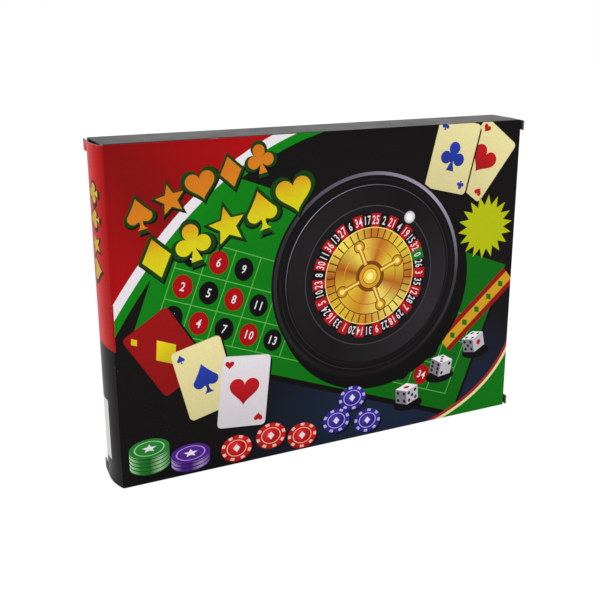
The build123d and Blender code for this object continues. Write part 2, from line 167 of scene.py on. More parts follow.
def ink(code):
    """Colour from six hex digits, as the linear values that shaders work in."""
    screen = np.array([int(code[place:place + 2], 16) for place in (0, 2, 4)]) / 255
    return np.where(screen <= 0.04045, screen / 12.92, ((screen + 0.055) / 1.055) ** 2.4)


def blend_inks(stops, share):
    """Inks run evenly from the first to the last as the share goes from 0 to 1."""
    stops = np.array(stops)
    along = np.clip(share, 0, 1) * (len(stops) - 1)
    return np.stack([np.interp(along, np.arange(len(stops)), stops[:, channel]) for channel in range(3)], 1)


def fade(stops, start, end):
    """Ink that runs along a straight line: share is the point's distance along start to end."""
    start, run = np.array(start), np.array(end) - np.array(start)
    return lambda points: blend_inks(stops, (points - start) @ run / (run @ run))


def glow(stops, centre, reach):
    """Ink that runs outwards: share is the distance from the centre over the reach."""
    return lambda points: blend_inks(stops, np.hypot(*((points - centre) / reach).T))


def sheen(stops, centre, turn):
    """Ink that runs round a centre and meets itself, as light does on turned metal."""
    def around(points):
        angle = np.arctan2(*(points - centre).T[::-1]) - turn
        return blend_inks(stops, angle / (2 * math.pi) % 1)
    return around


def turned(loop, degrees, about=(0.0, 0.0)):
    """Points turned about a point."""
    angle = math.radians(degrees)
    spin = np.array([[math.cos(angle), math.sin(angle)], [-math.sin(angle), math.cos(angle)]])
    return (np.asarray(loop, float) - about) @ spin + about


def oval(centre, wide, high=None, count=40):
    """Closed loop: the cosine across and the sine up."""
    angle = np.linspace(0, 2 * math.pi, count, endpoint=False)
    return np.stack([centre[0] + wide * np.cos(angle), centre[1] + (high or wide) * np.sin(angle)], 1)


def block(centre, wide, high, round_off=0.0, steps=5):
    """Rectangle whose corners are quarter circles."""
    if not round_off:
        return np.array(centre) + SIGNS * (wide, high) / 2
    angle = np.concatenate([np.linspace(q, q + 1, steps) for q in range(4)]) * math.pi / 2
    side_x = np.sign(np.cos(np.repeat(np.arange(4) + 0.5, steps) * math.pi / 2))
    side_y = np.sign(np.sin(np.repeat(np.arange(4) + 0.5, steps) * math.pi / 2))
    x = centre[0] + side_x * (wide / 2 - round_off) + round_off * np.cos(angle)
    y = centre[1] + side_y * (high / 2 - round_off) + round_off * np.sin(angle)
    return np.stack([x, y], 1)


def sector(centre, inner, outer, start, end, steps=3):
    """Piece of a ring between two angles in radians."""
    angle = np.linspace(start, end, steps)
    rim = np.stack([np.cos(angle), np.sin(angle)], 1)
    return np.array(centre) + np.concatenate([outer * rim, inner * rim[::-1]])


def burst(centre, inner, outer, points, turn):
    """Star whose corners lie by turns on an outer and an inner circle."""
    angle = turn + math.pi * np.arange(2 * points) / points
    radius = np.where(np.arange(2 * points) % 2 == 0, outer, inner)
    return np.array(centre) + np.stack([radius * np.cos(angle), radius * np.sin(angle)], 1)


def bow_line(start, middle, end, count=24):
    """Smooth line through three points: the parabola that passes the middle one half-way."""
    t = np.linspace(0, 1, count)[:, None]
    bend = 2 * np.array(middle) - (np.array(start) + np.array(end)) / 2
    return (1 - t) ** 2 * np.array(start) + 2 * t * (1 - t) * bend + t ** 2 * np.array(end)


def lobes(circles, foot):
    """Outline of a bunch of circles with a flared foot, as the furthest point at each angle."""
    angle = np.linspace(-math.pi / 2, 1.5 * math.pi, 120, endpoint=False)
    ray = np.stack([np.cos(angle), np.sin(angle)], 1)
    reach = np.zeros(len(angle))
    for x, y, radius in circles:
        along = ray @ np.array([x, y])
        inside = along ** 2 - (x * x + y * y - radius * radius)
        reach = np.maximum(reach, np.where(inside > 0, along + np.sqrt(np.maximum(inside, 0)), 0))
    return np.concatenate([foot[:2], (ray * reach[:, None])[6:-6], foot[2:]])


FOOT = np.array([(0.30, -1.0), (0.10, -0.45), (-0.10, -0.45), (-0.30, -1.0)])
t = np.linspace(0, 2 * math.pi, 72, endpoint=False)
HEART = np.stack([np.sin(t) ** 3, 0.12 + (13 * np.cos(t) - 5 * np.cos(2 * t) - 2 * np.cos(3 * t)
                                          - np.cos(4 * t)) / 16], 1)[::-1]
lobe = np.linspace(0.35, -2.3, 14)
spade_side = np.concatenate([bow_line((0, 1), (0.40, 0.42), (0.80, -0.05), 8)[:-1],
                             np.stack([0.44 + 0.38 * np.cos(lobe), -0.18 + 0.38 * np.sin(lobe)], 1),
                             bow_line((0.10, -0.5), (0.14, -0.82), (0.34, -1.0), 5)])
SPADE = np.concatenate([spade_side[1:], spade_side[::-1] * (-1, 1)])[::-1]
CLUB = lobes(((0, 0.5, 0.42), (-0.5, -0.18, 0.42), (0.5, -0.18, 0.42), (0, 0, 0.3)), FOOT)
LOZENGE = np.array([(0.0, -1.0), (0.4, -0.45), (0.74, 0.0), (0.4, 0.45), (0.0, 1.0), (-0.4, 0.45),
                    (-0.74, 0.0), (-0.4, -0.45)])
STAR = burst((0, 0), 0.45, 1.0, 5, math.pi / 2)
SUITS = {"heart": HEART, "spade": SPADE, "club": CLUB, "lozenge": LOZENGE, "star": STAR}


def suit(kind, centre, size, turn=0.0):
    """One of the card motifs, half as large as its size each way from its centre."""
    return turned(SUITS[kind] * size / 2, turn) + np.array(centre)


def cut_digits():
    """The ten digits as flat pieces one unit high, cut from Blender's own plain letters."""
    pieces = {}
    for digit in "0123456789":
        letters = bpy.data.curves.new("digit", "FONT")
        letters.body = digit
        letters.resolution_u = 2
        letters.offset = 0.012
        letters.align_x = "CENTER"
        carrier = bpy.data.objects.new("digit", letters)
        flat = bpy.data.meshes.new_from_object(carrier)
        corners = np.array([v.co[:2] for v in flat.vertices])
        corners[:, 1] -= (corners[:, 1].min() + corners[:, 1].max()) / 2
        corners /= np.ptp(corners[:, 1])
        flat.calc_loop_triangles()
        triangles = corners[np.array([face.vertices for face in flat.loop_triangles])]
        first, second = triangles[:, 1] - triangles[:, 0], triangles[:, 2] - triangles[:, 0]
        area = first[:, 0] * second[:, 1] - first[:, 1] * second[:, 0]
        pieces[digit] = list(triangles[np.abs(area) > 1e-4])
        bpy.data.meshes.remove(flat)
        bpy.data.objects.remove(carrier)
        bpy.data.curves.remove(letters)
    return pieces


DIGITS = cut_digits()


def numeral(number, centre, height, turn=0.0, slim=0.8):
    """The pieces of a number's digits, side by side, in loops."""
    text = str(number)
    loops = []
    for place, digit in enumerate(text):
        shift = (place - (len(text) - 1) / 2) * 0.8
        for piece in DIGITS[digit]:
            loops.append(turned((piece + (shift, 0)) * (slim * height, height), turn) + np.array(centre))
    return loops


def draw(sheet, loops, colour):
    """Lay one loop, or several of one ink, on top of what the sheet holds, wound leftwards."""
    for loop in [loops] if isinstance(loops, np.ndarray) else loops:
        ahead = np.roll(loop, -1, 0)
        area = (loop[:, 0] * ahead[:, 1] - loop[:, 1] * ahead[:, 0]).sum()
        sheet.append((loop if area > 0 else loop[::-1], colour))


def cut_sheet(sheet, lines):
    """Triangles of a drawn sheet, whose first loop is its ground and gives its outline.

    Every outline and every given line is an edge. A triangle takes the ink of the topmost
    loop over it, worked out at its corners, and what hangs over the ground's edge is cut off.
    """
    points, faces, edges = [], [], []
    for loop, _ in sheet:
        faces.append(list(range(len(points), len(points) + len(loop))))
        points.extend(map(Vector, loop.tolist()))
    for start, end in lines:
        edges.append((len(points), len(points) + 1))
        points.extend((Vector(start), Vector(end)))
    corners, _, triangles, _, _, above = delaunay_2d_cdt(points, edges, faces, 1, 1e-4)
    keep = [place for place, over in enumerate(above) if 0 in over]
    flat = np.array([corner[:] for corner in corners])
    triangles = np.array([triangles[place] for place in keep])
    top = np.array([max(above[place]) for place in keep])
    inks = np.empty((len(keep), 3, 3))
    for place in np.unique(top):
        here = top == place
        colour = sheet[place][1]
        at = flat[triangles[here]].reshape(-1, 2)
        inks[here] = (colour(at) if callable(colour) else np.tile(colour, (len(at), 1))).reshape(-1, 3, 3)
    used, renumbered = np.unique(triangles, return_inverse=True)
    return flat[used], renumbered.reshape(-1, 3), inks


def keep_inks(mesh, inks, worn=1.0):
    """The ink at each corner of a mesh's faces, and beside it how worn the print is there."""
    layer = mesh.color_attributes.new("ink", "FLOAT_COLOR", "CORNER")
    worn = np.broadcast_to(worn, (*inks.shape[:-1], 1))
    layer.data.foreach_set("color", np.concatenate([inks, worn], -1).ravel())


def smooth(mesh):
    """Shade every face of a mesh smoothly."""
    mesh.polygons.foreach_set("use_smooth", [True] * len(mesh.polygons))


def thicken(piece, thickness, offset=-1):
    """Give a surface its thickness in millimetres, inwards or to both sides."""
    skin = piece.modifiers.new("thickness", "SOLIDIFY")
    skin.thickness = thickness * MM
    skin.offset = offset
    return skin


def hand_over(piece, body, nodes):
    """Tie a piece to its body and hide the nodes that it dresses; a piece across a crease, given bodies on
    both sides, is baked where it stands.
    """
    if isinstance(body, str):
        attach(piece, body)
    else:
        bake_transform(piece)
    if nodes:
        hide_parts(*nodes)


def board_piece(name, body, nodes, sheet, lines, place, wear, inside_out=False):
    """A printed piece of board: the cut sheet put in place, then thickened inwards.

    place turns flat points into points in space, and wear gives how near each flat point
    lies to a crease or a cut, from 0 to 1, kept beside the ink.
    """
    flat, triangles, inks = cut_sheet(sheet, lines)
    if inside_out:
        triangles, inks = triangles[:, ::-1], inks[:, ::-1]
    mesh = mesh_of(name, place(flat) * MM, triangles)
    keep_inks(mesh, inks, wear(flat)[triangles][..., None])
    smooth(mesh)
    sides = np.empty(len(mesh.loops), int)
    mesh.loops.foreach_get("edge_index", sides)
    rim = np.bincount(sides, minlength=len(mesh.edges)) == 1
    mesh.attributes.new("sharp_edge", "BOOLEAN", "EDGE").data.foreach_set("value", rim)
    for material in (varnished_print, cut_board, grey_back_and_painted_shade):
        mesh.materials.append(material)
    piece = placed(name, mesh)
    skin = thicken(piece, BOARD)
    skin.use_even_offset = True
    skin.material_offset_rim = 1
    skin.material_offset = 2
    hand_over(piece, body, nodes)


RESULTS = (("Color", "Color"), ("Roughness", "Float"), ("Height", "Float"))


def effect(name, *ins):
    """Empty node group with named inputs, which gives back a colour, a roughness and a height."""
    group = bpy.data.node_groups.new(name, "ShaderNodeTree")
    for titles, way in ((ins, "INPUT"), (RESULTS, "OUTPUT")):
        for title, kind in titles:
            group.interface.new_socket(title, in_out=way, socket_type=f"NodeSocket{kind}")
    return group, group.nodes.new("NodeGroupInput").outputs, group.nodes.new("NodeGroupOutput").inputs


def give_back(group, way_out, *values):
    """Join an effect's three results to its way out."""
    for value, (title, _) in zip(values, RESULTS):
        group.links.new(value, way_out[title])


def noise(tree, vector, scale, detail=3.0):
    """Noise over the given coordinates, as a value from 0 to 1."""
    inputs = {"Vector": vector, "Scale": scale, "Detail": detail}
    return add_node(tree, "ShaderNodeTexNoise", inputs).outputs[0]


def ramp(tree, value, low, high, to_low=0.0, to_high=1.0):
    """A value carried from one range to another, and held at its ends."""
    inputs = {"Value": value, "From Min": low, "From Max": high, "To Min": to_low, "To Max": to_high}
    return add_node(tree, "ShaderNodeMapRange", inputs).outputs[0]


def times(tree, first, second, operation="MULTIPLY"):
    """Two values multiplied, or joined by another operation."""
    return add_node(tree, "ShaderNodeMath", {0: first, 1: second}, operation=operation).outputs[0]


def mixed(tree, share, first, second):
    """Two colours mixed by a share."""
    node = add_node(tree, "ShaderNodeMix", {"Factor": share}, data_type="RGBA")
    for socket, value in ((node.inputs[6], first), (node.inputs[7], second)):
        if isinstance(value, bpy.types.NodeSocket):
            tree.links.new(value, socket)
        else:
            socket.default_value = (*value, 1)
    return node.outputs[2]


# Ink that has rubbed off where the board is creased or cut, and the board's slight waves.
rubbed, given, way_out = effect("rubbed_print", ("Ink", "Color"), ("Crease", "Float"),
                                ("Place", "Vector"))
fibre = noise(rubbed, given["Place"], 900.0, 4.0)
patches = noise(rubbed, given["Place"], 70.0)
waves = noise(rubbed, given["Place"], 14.0, 1.0)
near = times(rubbed, given["Crease"], patches)
rub = ramp(rubbed, times(rubbed, near, times(rubbed, fibre, 0.5), "ADD"), 0.90, 1.02)
grain = ramp(rubbed, fibre, 0.3, 0.7, 0.94, 1.04)
toned = add_node(rubbed, "ShaderNodeMix", {"Factor": 1.0, 6: given["Ink"], 7: grain},
                 data_type="RGBA", blend_type="MULTIPLY")
gloss = ramp(rubbed, patches, 0.3, 0.7, 0.19, 0.27)
swell = times(rubbed, waves, times(rubbed, fibre, 0.012), "ADD")
give_back(rubbed, way_out, mixed(rubbed, rub, toned.outputs[2], (0.42, 0.38, 0.33)),
          times(rubbed, gloss, times(rubbed, rub, 0.4), "ADD"),
          times(rubbed, swell, times(rubbed, rub, 0.03), "SUBTRACT"))


def finish(name, **sockets):
    """New material with a Principled shader, whose plain numbers sit on its own sockets."""
    material = bpy.data.materials.new(name)
    tree = node_tree(material)
    shader = add_node(tree, "ShaderNodeBsdfPrincipled", {key.replace("_", " "): value
                                                         for key, value in sockets.items()})
    add_node(tree, "ShaderNodeOutputMaterial", {"Surface": shader.outputs[0]})
    place = add_node(tree, "ShaderNodeTexCoord").outputs["Object"]
    return material, tree, shader, place


def tint(tree, shader, share, first, second):
    """The shader's base colour, mixed from two tones by a share."""
    tree.links.new(mixed(tree, share, first, second), shader.inputs["Base Color"])


def bumped(tree, shader, height, distance):
    """The shader's normal, raised by a height."""
    bump = add_node(tree, "ShaderNodeBump", {"Height": height, "Distance": distance})
    tree.links.new(bump.outputs[0], shader.inputs["Normal"])


def wear_onto(tree, shader, inputs, group, distance):
    """An effect's colour, roughness and height joined to the shader."""
    results = add_node(tree, "ShaderNodeGroup", inputs, node_tree=group).outputs
    tree.links.new(results["Color"], shader.inputs["Base Color"])
    tree.links.new(results["Roughness"], shader.inputs["Roughness"])
    bumped(tree, shader, results["Height"], distance)


varnished_print, tree, shader, place = finish("varnished_print", Specular_IOR_Level=0.1)
kept = add_node(tree, "ShaderNodeAttribute", attribute_name="ink").outputs
wear_onto(tree, shader, {"Ink": kept["Color"], "Crease": kept["Alpha"], "Place": place}, rubbed, 0.0016)


def pulp(name, dark, pale, specks_of):
    """Uncoated board: short fibres between two tones, with dark specks of recycled print."""
    material, tree, shader, place = finish(name, Roughness=0.85, Specular_IOR_Level=0.25)
    strands = noise(tree, place, 1400.0, 5.0)
    fleck = ramp(tree, noise(tree, place, 640.0, 2.0), 0.66, 0.72)
    tint(tree, shader, fleck, mixed(tree, ramp(tree, strands, 0.3, 0.7), dark, pale), specks_of)
    bumped(tree, shader, strands, 0.00012)
    return material


cut_board = pulp("cut_board", (0.24, 0.21, 0.17), (0.42, 0.38, 0.32), (0.18, 0.14, 0.10))
# Painted shade: the board's back is grey board made this dark so that the flaps' inner sides and ears read as
# shaded.
grey_back_and_painted_shade = pulp("grey_back_and_painted_shade", (0.062, 0.060, 0.056), (0.110, 0.106, 0.098), (0.040, 0.036, 0.032))

# ---------------------------------------------------------------- cover picture
# The front panel's print: red and green corners behind curved stripes, and a betting cloth
# with a numbered wheel seen straight from above, cards, chips and dice on a dark ground.

low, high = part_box("front_panel")
HALF_WIDTH = (high[0] - low[0]) / 2 / MM
HALF_DEPTH = (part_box("back_panel")[1][1] - low[1]) / 2 / MM
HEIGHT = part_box("top_panel")[1][2] / MM
FOLD_RUN = FOLD_RADIUS * math.pi / 4        # half of a fold belongs to each of its two walls
SHEET_LOW = FOLD_RADIUS - FOLD_RUN
SHEET_HIGH = HEIGHT - SHEET_LOW

BLACK, NAVY, INKY = ink("0c0908"), ink("16233a"), ink("050404")
RED, DEEP_RED = ink("a80206"), ink("7e0204")
GREEN, PALE_GREEN, DARK_GREEN = ink("02740a"), ink("5cae50"), ink("0e3d0c")
WHITE, CREAM = ink("e6e0e6"), ink("ece0a2")
ORANGE, YELLOW, BURST = ink("d67f16"), ink("d6cc10"), ink("b4bc04")
BLUE = ink("2338a0")
GOLD = [ink(code) for code in ("e8cf40", "c0661a", "f2e258", "aa5212", "e2c236", "cc8420", "f2e46c",
                               "b25f14")]

TALL_SHEET = np.array([(-HALF_WIDTH, SHEET_LOW), (HALF_WIDTH, SHEET_LOW), (HALF_WIDTH, SHEET_HIGH),
                       (-HALF_WIDTH, SHEET_HIGH)])
cover = []
draw(cover, TALL_SHEET, BLACK)
dusk = glow([NAVY, NAVY, (BLACK + NAVY) / 2, BLACK], (70, 30), (170, 92))
for share in np.linspace(1, 0.12, 7):
    draw(cover, oval((70, 30), 170 * share, 92 * share), dusk)

# The cloth is a long rectangle laid askew, with its grid of numbered fields
CLOTH_TURN, CLOTH_CENTRE, CLOTH_SIZE = -21.0, np.array((2.0, 134.0)), np.array((330.0, 150.0))
FIELD, LINE = np.array((23.0, 26.0)), 0.8
WHEEL_CENTRE, WHEEL_RADIUS = np.array((36.0, 152.0)), 94.0


def on_cloth(loop):
    """Points drawn square on the cloth, turned with it."""
    return turned(loop, CLOTH_TURN) + CLOTH_CENTRE


draw(cover, on_cloth(block((3, -5), *CLOTH_SIZE)), INKY)
draw(cover, on_cloth(block((0, 0), *CLOTH_SIZE)),
     fade([GREEN * 1.15, GREEN, GREEN * 0.75], (-120, 220), (60, 30)))
for column in range(14):
    draw(cover, on_cloth(block(((column - 6.5) * FIELD[0], -20), LINE, 3 * FIELD[1])), PALE_GREEN)
for row in range(4):
    draw(cover, on_cloth(block((0, -59 + row * FIELD[1]), 13 * FIELD[0], LINE)), PALE_GREEN)
for number in range(39):
    column, row = divmod(number, 3)
    spot = on_cloth(np.array([((column - 6) * FIELD[0], -46.0 + row * FIELD[1])]))[0]
    if np.hypot(*(spot - WHEEL_CENTRE)) > WHEEL_RADIUS + 5 and number < 36:
        draw(cover, oval(spot, 8.4, 9.8, 24), RED if number % 2 else INKY)
        draw(cover, numeral(number + 1, spot, 7.4, CLOTH_TURN), WHITE)


def playing_card(sheet, centre, turn, kind, colour, ground):
    """A card with one large motif, two small ones in its corners and a shadow below it."""
    def lay(loop):
        return turned(loop, turn) + np.array(centre)

    card_run, motif_run = lay(np.array([(-8, -32), (8, 32)])), lay(np.array([(0, -13), (0, 13)]))
    draw(sheet, lay(block((1.6, -2.2), 44, 64, 4)), INKY)
    draw(sheet, lay(block((0, 0), 44, 64, 4)), ground * 0.8)
    draw(sheet, lay(block((0, 0), 43, 63, 3.6)), fade([ground * 0.8, ground], *card_run))
    draw(sheet, lay(suit(kind, (0, 0), 27)), fade([colour * 0.7, colour * 1.2], *motif_run))
    for end in (-1, 1):
        draw(sheet, lay(suit(kind, (-15 * end, 24 * end), 8, 90 - 90 * end)), colour)


def chip_stack(sheet, centre, count, colour, pale):
    """Stack of chips seen from a little above: edges with pale spots, and a top with a motif."""
    wide, high, pitch = 17.0, 8.5, 3.4
    draw(sheet, oval(np.array(centre) + (3, -3), wide + 2, high + 1, 36), INKY)
    for place in range(count):
        middle = np.array(centre) + (0, place * pitch)
        draw(sheet, oval(middle, wide, high, 36), colour * 0.35)
        draw(sheet, oval(middle + (0, 0.9), wide, high, 36),
             fade([pale, colour, colour * 0.6, pale * 0.8, colour], middle - (wide, 0), middle + (wide, 0)))
    top = middle + (0, 1.7)
    draw(sheet, oval(top, wide, high, 36), colour)
    draw(sheet, oval(top, wide * 0.76, high * 0.76, 36), pale)
    draw(sheet, oval(top, wide * 0.70, high * 0.70, 36),
         fade([colour * 0.8, colour * 1.4], top - (0, high), top + (0, high)))
    draw(sheet, suit("star", (0, 0), 12) * (1.1, 0.6) + top, WHITE)


def flat_chip(sheet, centre, radius, colour, pale, turn):
    """One chip seen from above: eight pale edge spots, a ring, a motif and a highlight."""
    centre, squash = np.array(centre, float), np.array((1, 0.84))
    high = radius * squash[1]
    draw(sheet, oval(centre + (1.6, -2.2), radius, high, 36), INKY)
    draw(sheet, oval(centre + (0, -1.2), radius, high, 36), colour * 0.4)
    draw(sheet, oval(centre, radius, high, 36),
         fade([colour * 0.7, colour * 1.4], centre - radius, centre + radius))
    for place in range(8):
        start = turn + place * math.pi / 4
        spot = sector((0, 0), radius * 0.78, radius * 0.99, start, start + 0.3, 4)
        draw(sheet, spot * squash + centre, pale)
    draw(sheet, oval(centre, radius * 0.66, radius * 0.55, 30), pale)
    draw(sheet, oval(centre, radius * 0.60, radius * 0.50, 30),
         glow([colour * 1.8 + 0.04, colour * 1.2, colour * 0.8], centre + (-2, 2), radius * 0.7))
    draw(sheet, suit("lozenge", (0, 0), radius * 0.62) * squash + centre, WHITE)


PIPS = {1: (4,), 2: (0, 8), 3: (0, 4, 8), 4: (0, 2, 6, 8), 5: (0, 2, 4, 6, 8), 6: (0, 2, 3, 5, 6, 8)}
PIP_GRID = np.array([(x, y) for y in (-1, 0, 1) for x in (-1, 0, 1)])


def die(sheet, centre, size, tops, turn):
    """Die seen from a corner: three leaning faces, each with its own pips."""
    across = turned(np.array([(0.92, 0.28), (-0.86, 0.34), (0.0, 1.0)]), turn) * size
    corner = np.array(centre, float)
    draw(sheet, oval(corner + (0.1 * size, 0.05 * size), 1.15 * size, 0.5 * size, 24), INKY)
    for (first, second, colour), pips in zip(((0, 2, "bdb8c2"), (1, 2, "7d7884"), (0, 1, "f0ecef")), tops):
        base = corner + (across[2] if (first, second) == (0, 1) else 0)
        axes = np.stack([across[first], across[second]])
        draw(sheet, base + (SIGNS + 1) / 2 @ axes, ink(colour))
        reach, code = (0.19, "b30f16") if pips == 1 else (0.115, "141113")
        for spot in PIPS[pips]:
            hole = base + (0.5 + 0.275 * PIP_GRID[spot]) @ axes
            draw(sheet, hole + oval((0, 0), reach, count=14) @ axes, ink(code))


draw(cover, turned(block((152, 105), 92, 20), 40, (152, 105)), ink("960a0c"))
draw(cover, turned(block((152, 105), 92, 10), 40, (152, 105)), ink("cf9d1c"))
for place in range(5):
    spot = turned([(118 + 17 * place, 105)], 40, (152, 105))[0]
    draw(cover, suit("lozenge", spot, 8.5, 40), ink("0f6f1a"))
for centre, turn, kind, colour, ground in (
    ((150, 246), -38, "heart", ink("b3121a"), CREAM),
    ((118, 252), -14, "club", BLUE, CREAM),
    ((-150, 112), 32, "lozenge", ink("dcc418"), ink("980a0e")),
    ((-118, 84), 14, "spade", BLUE, CREAM),
    ((-84, 66), -6, "heart", ink("b3121a"), WHITE),
):
    playing_card(cover, centre, turn, kind, colour, ground)

# The wheel: rim, bowl, number ring, pockets, cone and the turret's four arms
draw(cover, oval(WHEEL_CENTRE + (7, -10), WHEEL_RADIUS + 2, count=72), ink("040303"))
turn_of_light = math.radians(200)
rim_light = [ink(code) for code in ("262226", "120e0c", "1b171b", "3c3840", "a39db0", "6a6472", "2f2b32")]
black_lacquer = [ink(code) for code in ("201b1d", "0d0a0b", "2c272b", "141012", "201b1d")]
for radius, colour in (
    (WHEEL_RADIUS, ink("0d0a0b")),
    (WHEEL_RADIUS - 2.0, sheen(rim_light + rim_light[:1], WHEEL_CENTRE, turn_of_light)),
    (WHEEL_RADIUS - 5.0, ink("0a0808")),
    (WHEEL_RADIUS - 8, sheen(black_lacquer, WHEEL_CENTRE, 1.0)),
    (WHEEL_RADIUS - 8.8, ink("0b0909")),
    (WHEEL_RADIUS - 13, sheen(rim_light[::-1] + rim_light[-1:], WHEEL_CENTRE, 0.6)),
    (WHEEL_RADIUS - 13.6, ink("0c0a0a")),
    (WHEEL_RADIUS - 15, sheen(black_lacquer[::-1], WHEEL_CENTRE, 2.6)),
    (WHEEL_RADIUS - 31, ink("464049")),
    (WHEEL_RADIUS - 31.8,
     glow([ink("060505"), ink("0b0908"), ink("171315")], WHEEL_CENTRE, WHEEL_RADIUS - 32)),
):
    draw(cover, oval(WHEEL_CENTRE, radius, count=74), colour)

FIELDS = 37
FIELD_TURN = 2 * math.pi / FIELDS
RING_INNER, RING_OUTER, CONE_RADIUS = 44.0, 56.0, 35.0
WHEEL_LEAN = 0.2                            # how far the printed wheel is turned, in radians
WHEEL_ORDER = (0, 32, 15, 19, 4, 21, 2, 25, 17, 34, 6, 27, 13, 36, 11, 30, 8, 23, 10, 5, 24, 16, 33, 1,
               20, 14, 31, 9, 22, 18, 29, 7, 28, 12, 35, 3, 26)


def field_ink(place):
    """Ink of one of the wheel's fields: green for the zero, then red and black by turns."""
    return ink("0a7a20") if place == 0 else ink("b80d16" if place % 2 else "0b0808")


def beside(centre, reach, angle):
    """The point at a distance from a centre, in a direction."""
    return np.array(centre) + reach * np.array([math.cos(angle), math.sin(angle)])


for place, number in enumerate(WHEEL_ORDER):
    start = place * FIELD_TURN + WHEEL_LEAN
    middle = start + FIELD_TURN / 2
    draw(cover, sector(WHEEL_CENTRE, RING_INNER, RING_OUTER, start, start + FIELD_TURN), field_ink(place))
    draw(cover, numeral(number, beside(WHEEL_CENTRE, 50.2, middle), 7.6, math.degrees(middle) - 90, 0.62),
         WHITE)
draw(cover, oval(WHEEL_CENTRE, RING_INNER, count=74), ink("f2e27c"))
draw(cover, oval(WHEEL_CENTRE, RING_INNER - 0.8, count=74), sheen(GOLD + GOLD[:1], WHEEL_CENTRE, 0.7))
for place in range(FIELDS):
    fret = place * FIELD_TURN + WHEEL_LEAN
    draw(cover, sector(WHEEL_CENTRE, CONE_RADIUS, RING_INNER - 1, fret - 0.015, fret + 0.015, 2),
         ink("5e3208"))
for radius, colour in (
    (CONE_RADIUS, ink("6c370a")),
    (CONE_RADIUS - 0.8, sheen(GOLD[2:] + GOLD[:3], WHEEL_CENTRE, 2.0)),
    (CONE_RADIUS - 9, glow([ink("fff29a"), ink("e0aa28"), ink("b86a18")], WHEEL_CENTRE + (-6, 8), 30)),
    (CONE_RADIUS - 9.8, sheen(GOLD[4:] + GOLD[:5], WHEEL_CENTRE, 3.6)),
    (CONE_RADIUS - 21, ink("7c4410")),
):
    draw(cover, oval(WHEEL_CENTRE, radius, count=56), colour)
for arm in range(4):
    lean = 90 * arm + 22
    for wide, shade_of_gold in ((4.6, "7a400e"), (3.6, "d08c26"), (1.4, "f8e470")):
        for loop in (block((15.5, 0), 25, wide), oval((29.5, 0), wide * 0.95 + 1.2, count=24)):
            draw(cover, turned(loop, lean) + WHEEL_CENTRE, ink(shade_of_gold))
for radius, code in ((11.5, "6c370a"), (10.6, "d89a26"), (7.4, "7c4410"), (6.7, "eeca44"), (3.2, "fff096")):
    draw(cover, oval(WHEEL_CENTRE, radius, count=32), ink(code))
ball = beside(WHEEL_CENTRE, 62.5, 0.9)
ball_light = glow([ink("ffffff"), ink("f4f2f4"), ink("9d98a2")], ball, 5.8)
for share in (1.0, 0.8, 0.6, 0.4, 0.2):
    draw(cover, oval(ball, 5.6 * share, count=24), ball_light)

# Chips and dice round the wheel
chip_stack(cover, (-168, 16), 5, ink("1f7a2c"), ink("a8d8a0"))
chip_stack(cover, (-133, 11), 3, ink("4c1f86"), ink("b89ad2"))
ruby, violet = (ink("b5140f"), ink("f0b7a8")), (ink("32238c"), ink("b9b2e0"))
for centre, radius, turn, (colour, pale) in (((-92, 15), 14, 0.3, ruby), ((-60, 20), 14, 0.1, ruby),
                                             ((-30, 14), 14, 0.6, ruby), ((4, 21), 13.5, 0.2, violet),
                                             ((36, 15), 13.5, 0.5, violet), ((20, 40), 13.5, 0.0, violet)):
    flat_chip(cover, centre, radius, colour, pale, turn)
die(cover, (78, 22), 13.5, (5, 4, 1), 4)
die(cover, (112, 44), 13.5, (2, 6, 3), -10)
die(cover, (152, 62), 13.5, (1, 5, 4), 12)
draw(cover, burst((157, 184), 20.5, 30, 18, 0.1), BURST)

def corner_field(near_line, corner, colour):
    """Everything between a curved line and the corner of the sheet that it cuts off."""
    draw(cover, np.concatenate([near_line, [corner]]), colour)


# Corners: red behind a white and a green stripe, and green behind a cream and a red one
red_line = bow_line((18, SHEET_HIGH + 5), (-98, 236), (-HALF_WIDTH - 8, 118))
sideways = np.array((-0.62, 0.78))
for shift, colour in ((0, GREEN * 1.2), (7.5, WHITE)):
    corner_field(red_line + sideways * shift, (-HALF_WIDTH - 30, SHEET_HIGH + 20), colour)
corner_field(red_line + sideways * 15.5, (-HALF_WIDTH - 30, SHEET_HIGH + 20),
             fade([RED, DEEP_RED, RED * 0.95, RED * 1.1], (-195, 190), (-60, 310)))
green_line = bow_line((HALF_WIDTH + 4, 72), (160, 26), (98, SHEET_LOW - 3))
for shift, colour in ((3.2, ink("a3262a")), (0.0, CREAM), (-3.0, GREEN)):
    corner_field(green_line + np.array((-0.6, 0.8)) * shift, (HALF_WIDTH + 20, SHEET_LOW - 20), colour)


def motif_row(sheet, kinds, start, end, size, turn, inks, outline_ink):
    """A row of card motifs between two points, each with a dark outline and a fading ink."""
    way = turned([(0, size / 2)], turn)[0]
    for share, kind in zip(np.linspace(0, 1, len(kinds)), kinds):
        centre = np.array(start) * (1 - share) + np.array(end) * share
        draw(sheet, suit(kind, centre + (0.8, -1.0), size * 1.26, turn), INKY)
        draw(sheet, suit(kind, centre, size * 1.2, turn), outline_ink)
        draw(sheet, suit(kind, centre, size * 0.94, turn), fade(inks, centre - way, centre + way))


# Two leaning rows of motifs, orange above and yellow below, each with a dark green outline
motif_row(cover, ("spade", "star", "heart", "lozenge", "club"), (-166, 226), (-66, 262), 26, 12,
          [ORANGE, ink("cc7018")], DARK_GREEN)
motif_row(cover, ("lozenge", "club", "star", "spade", "heart"), (-154, 190), (-36, 230), 34, 12,
          [YELLOW, YELLOW, ORANGE], DARK_GREEN)

# ---------------------------------------------------------------- sleeve
# Front, top, back and bottom panels of the blank, folded round and glued. Each wall's sheet
# runs to the middle of its two folds, where it meets its neighbours' sheets.

FOLD_STEPS = 4
WEAR_REACH = 2.2                            # how far print is worn beside an edge or a crease
WEAR_LINE = 2.4                             # the sheets are cut just past that reach
MIDDLE = np.array((0, 0, HEIGHT / 2))       # of the carton


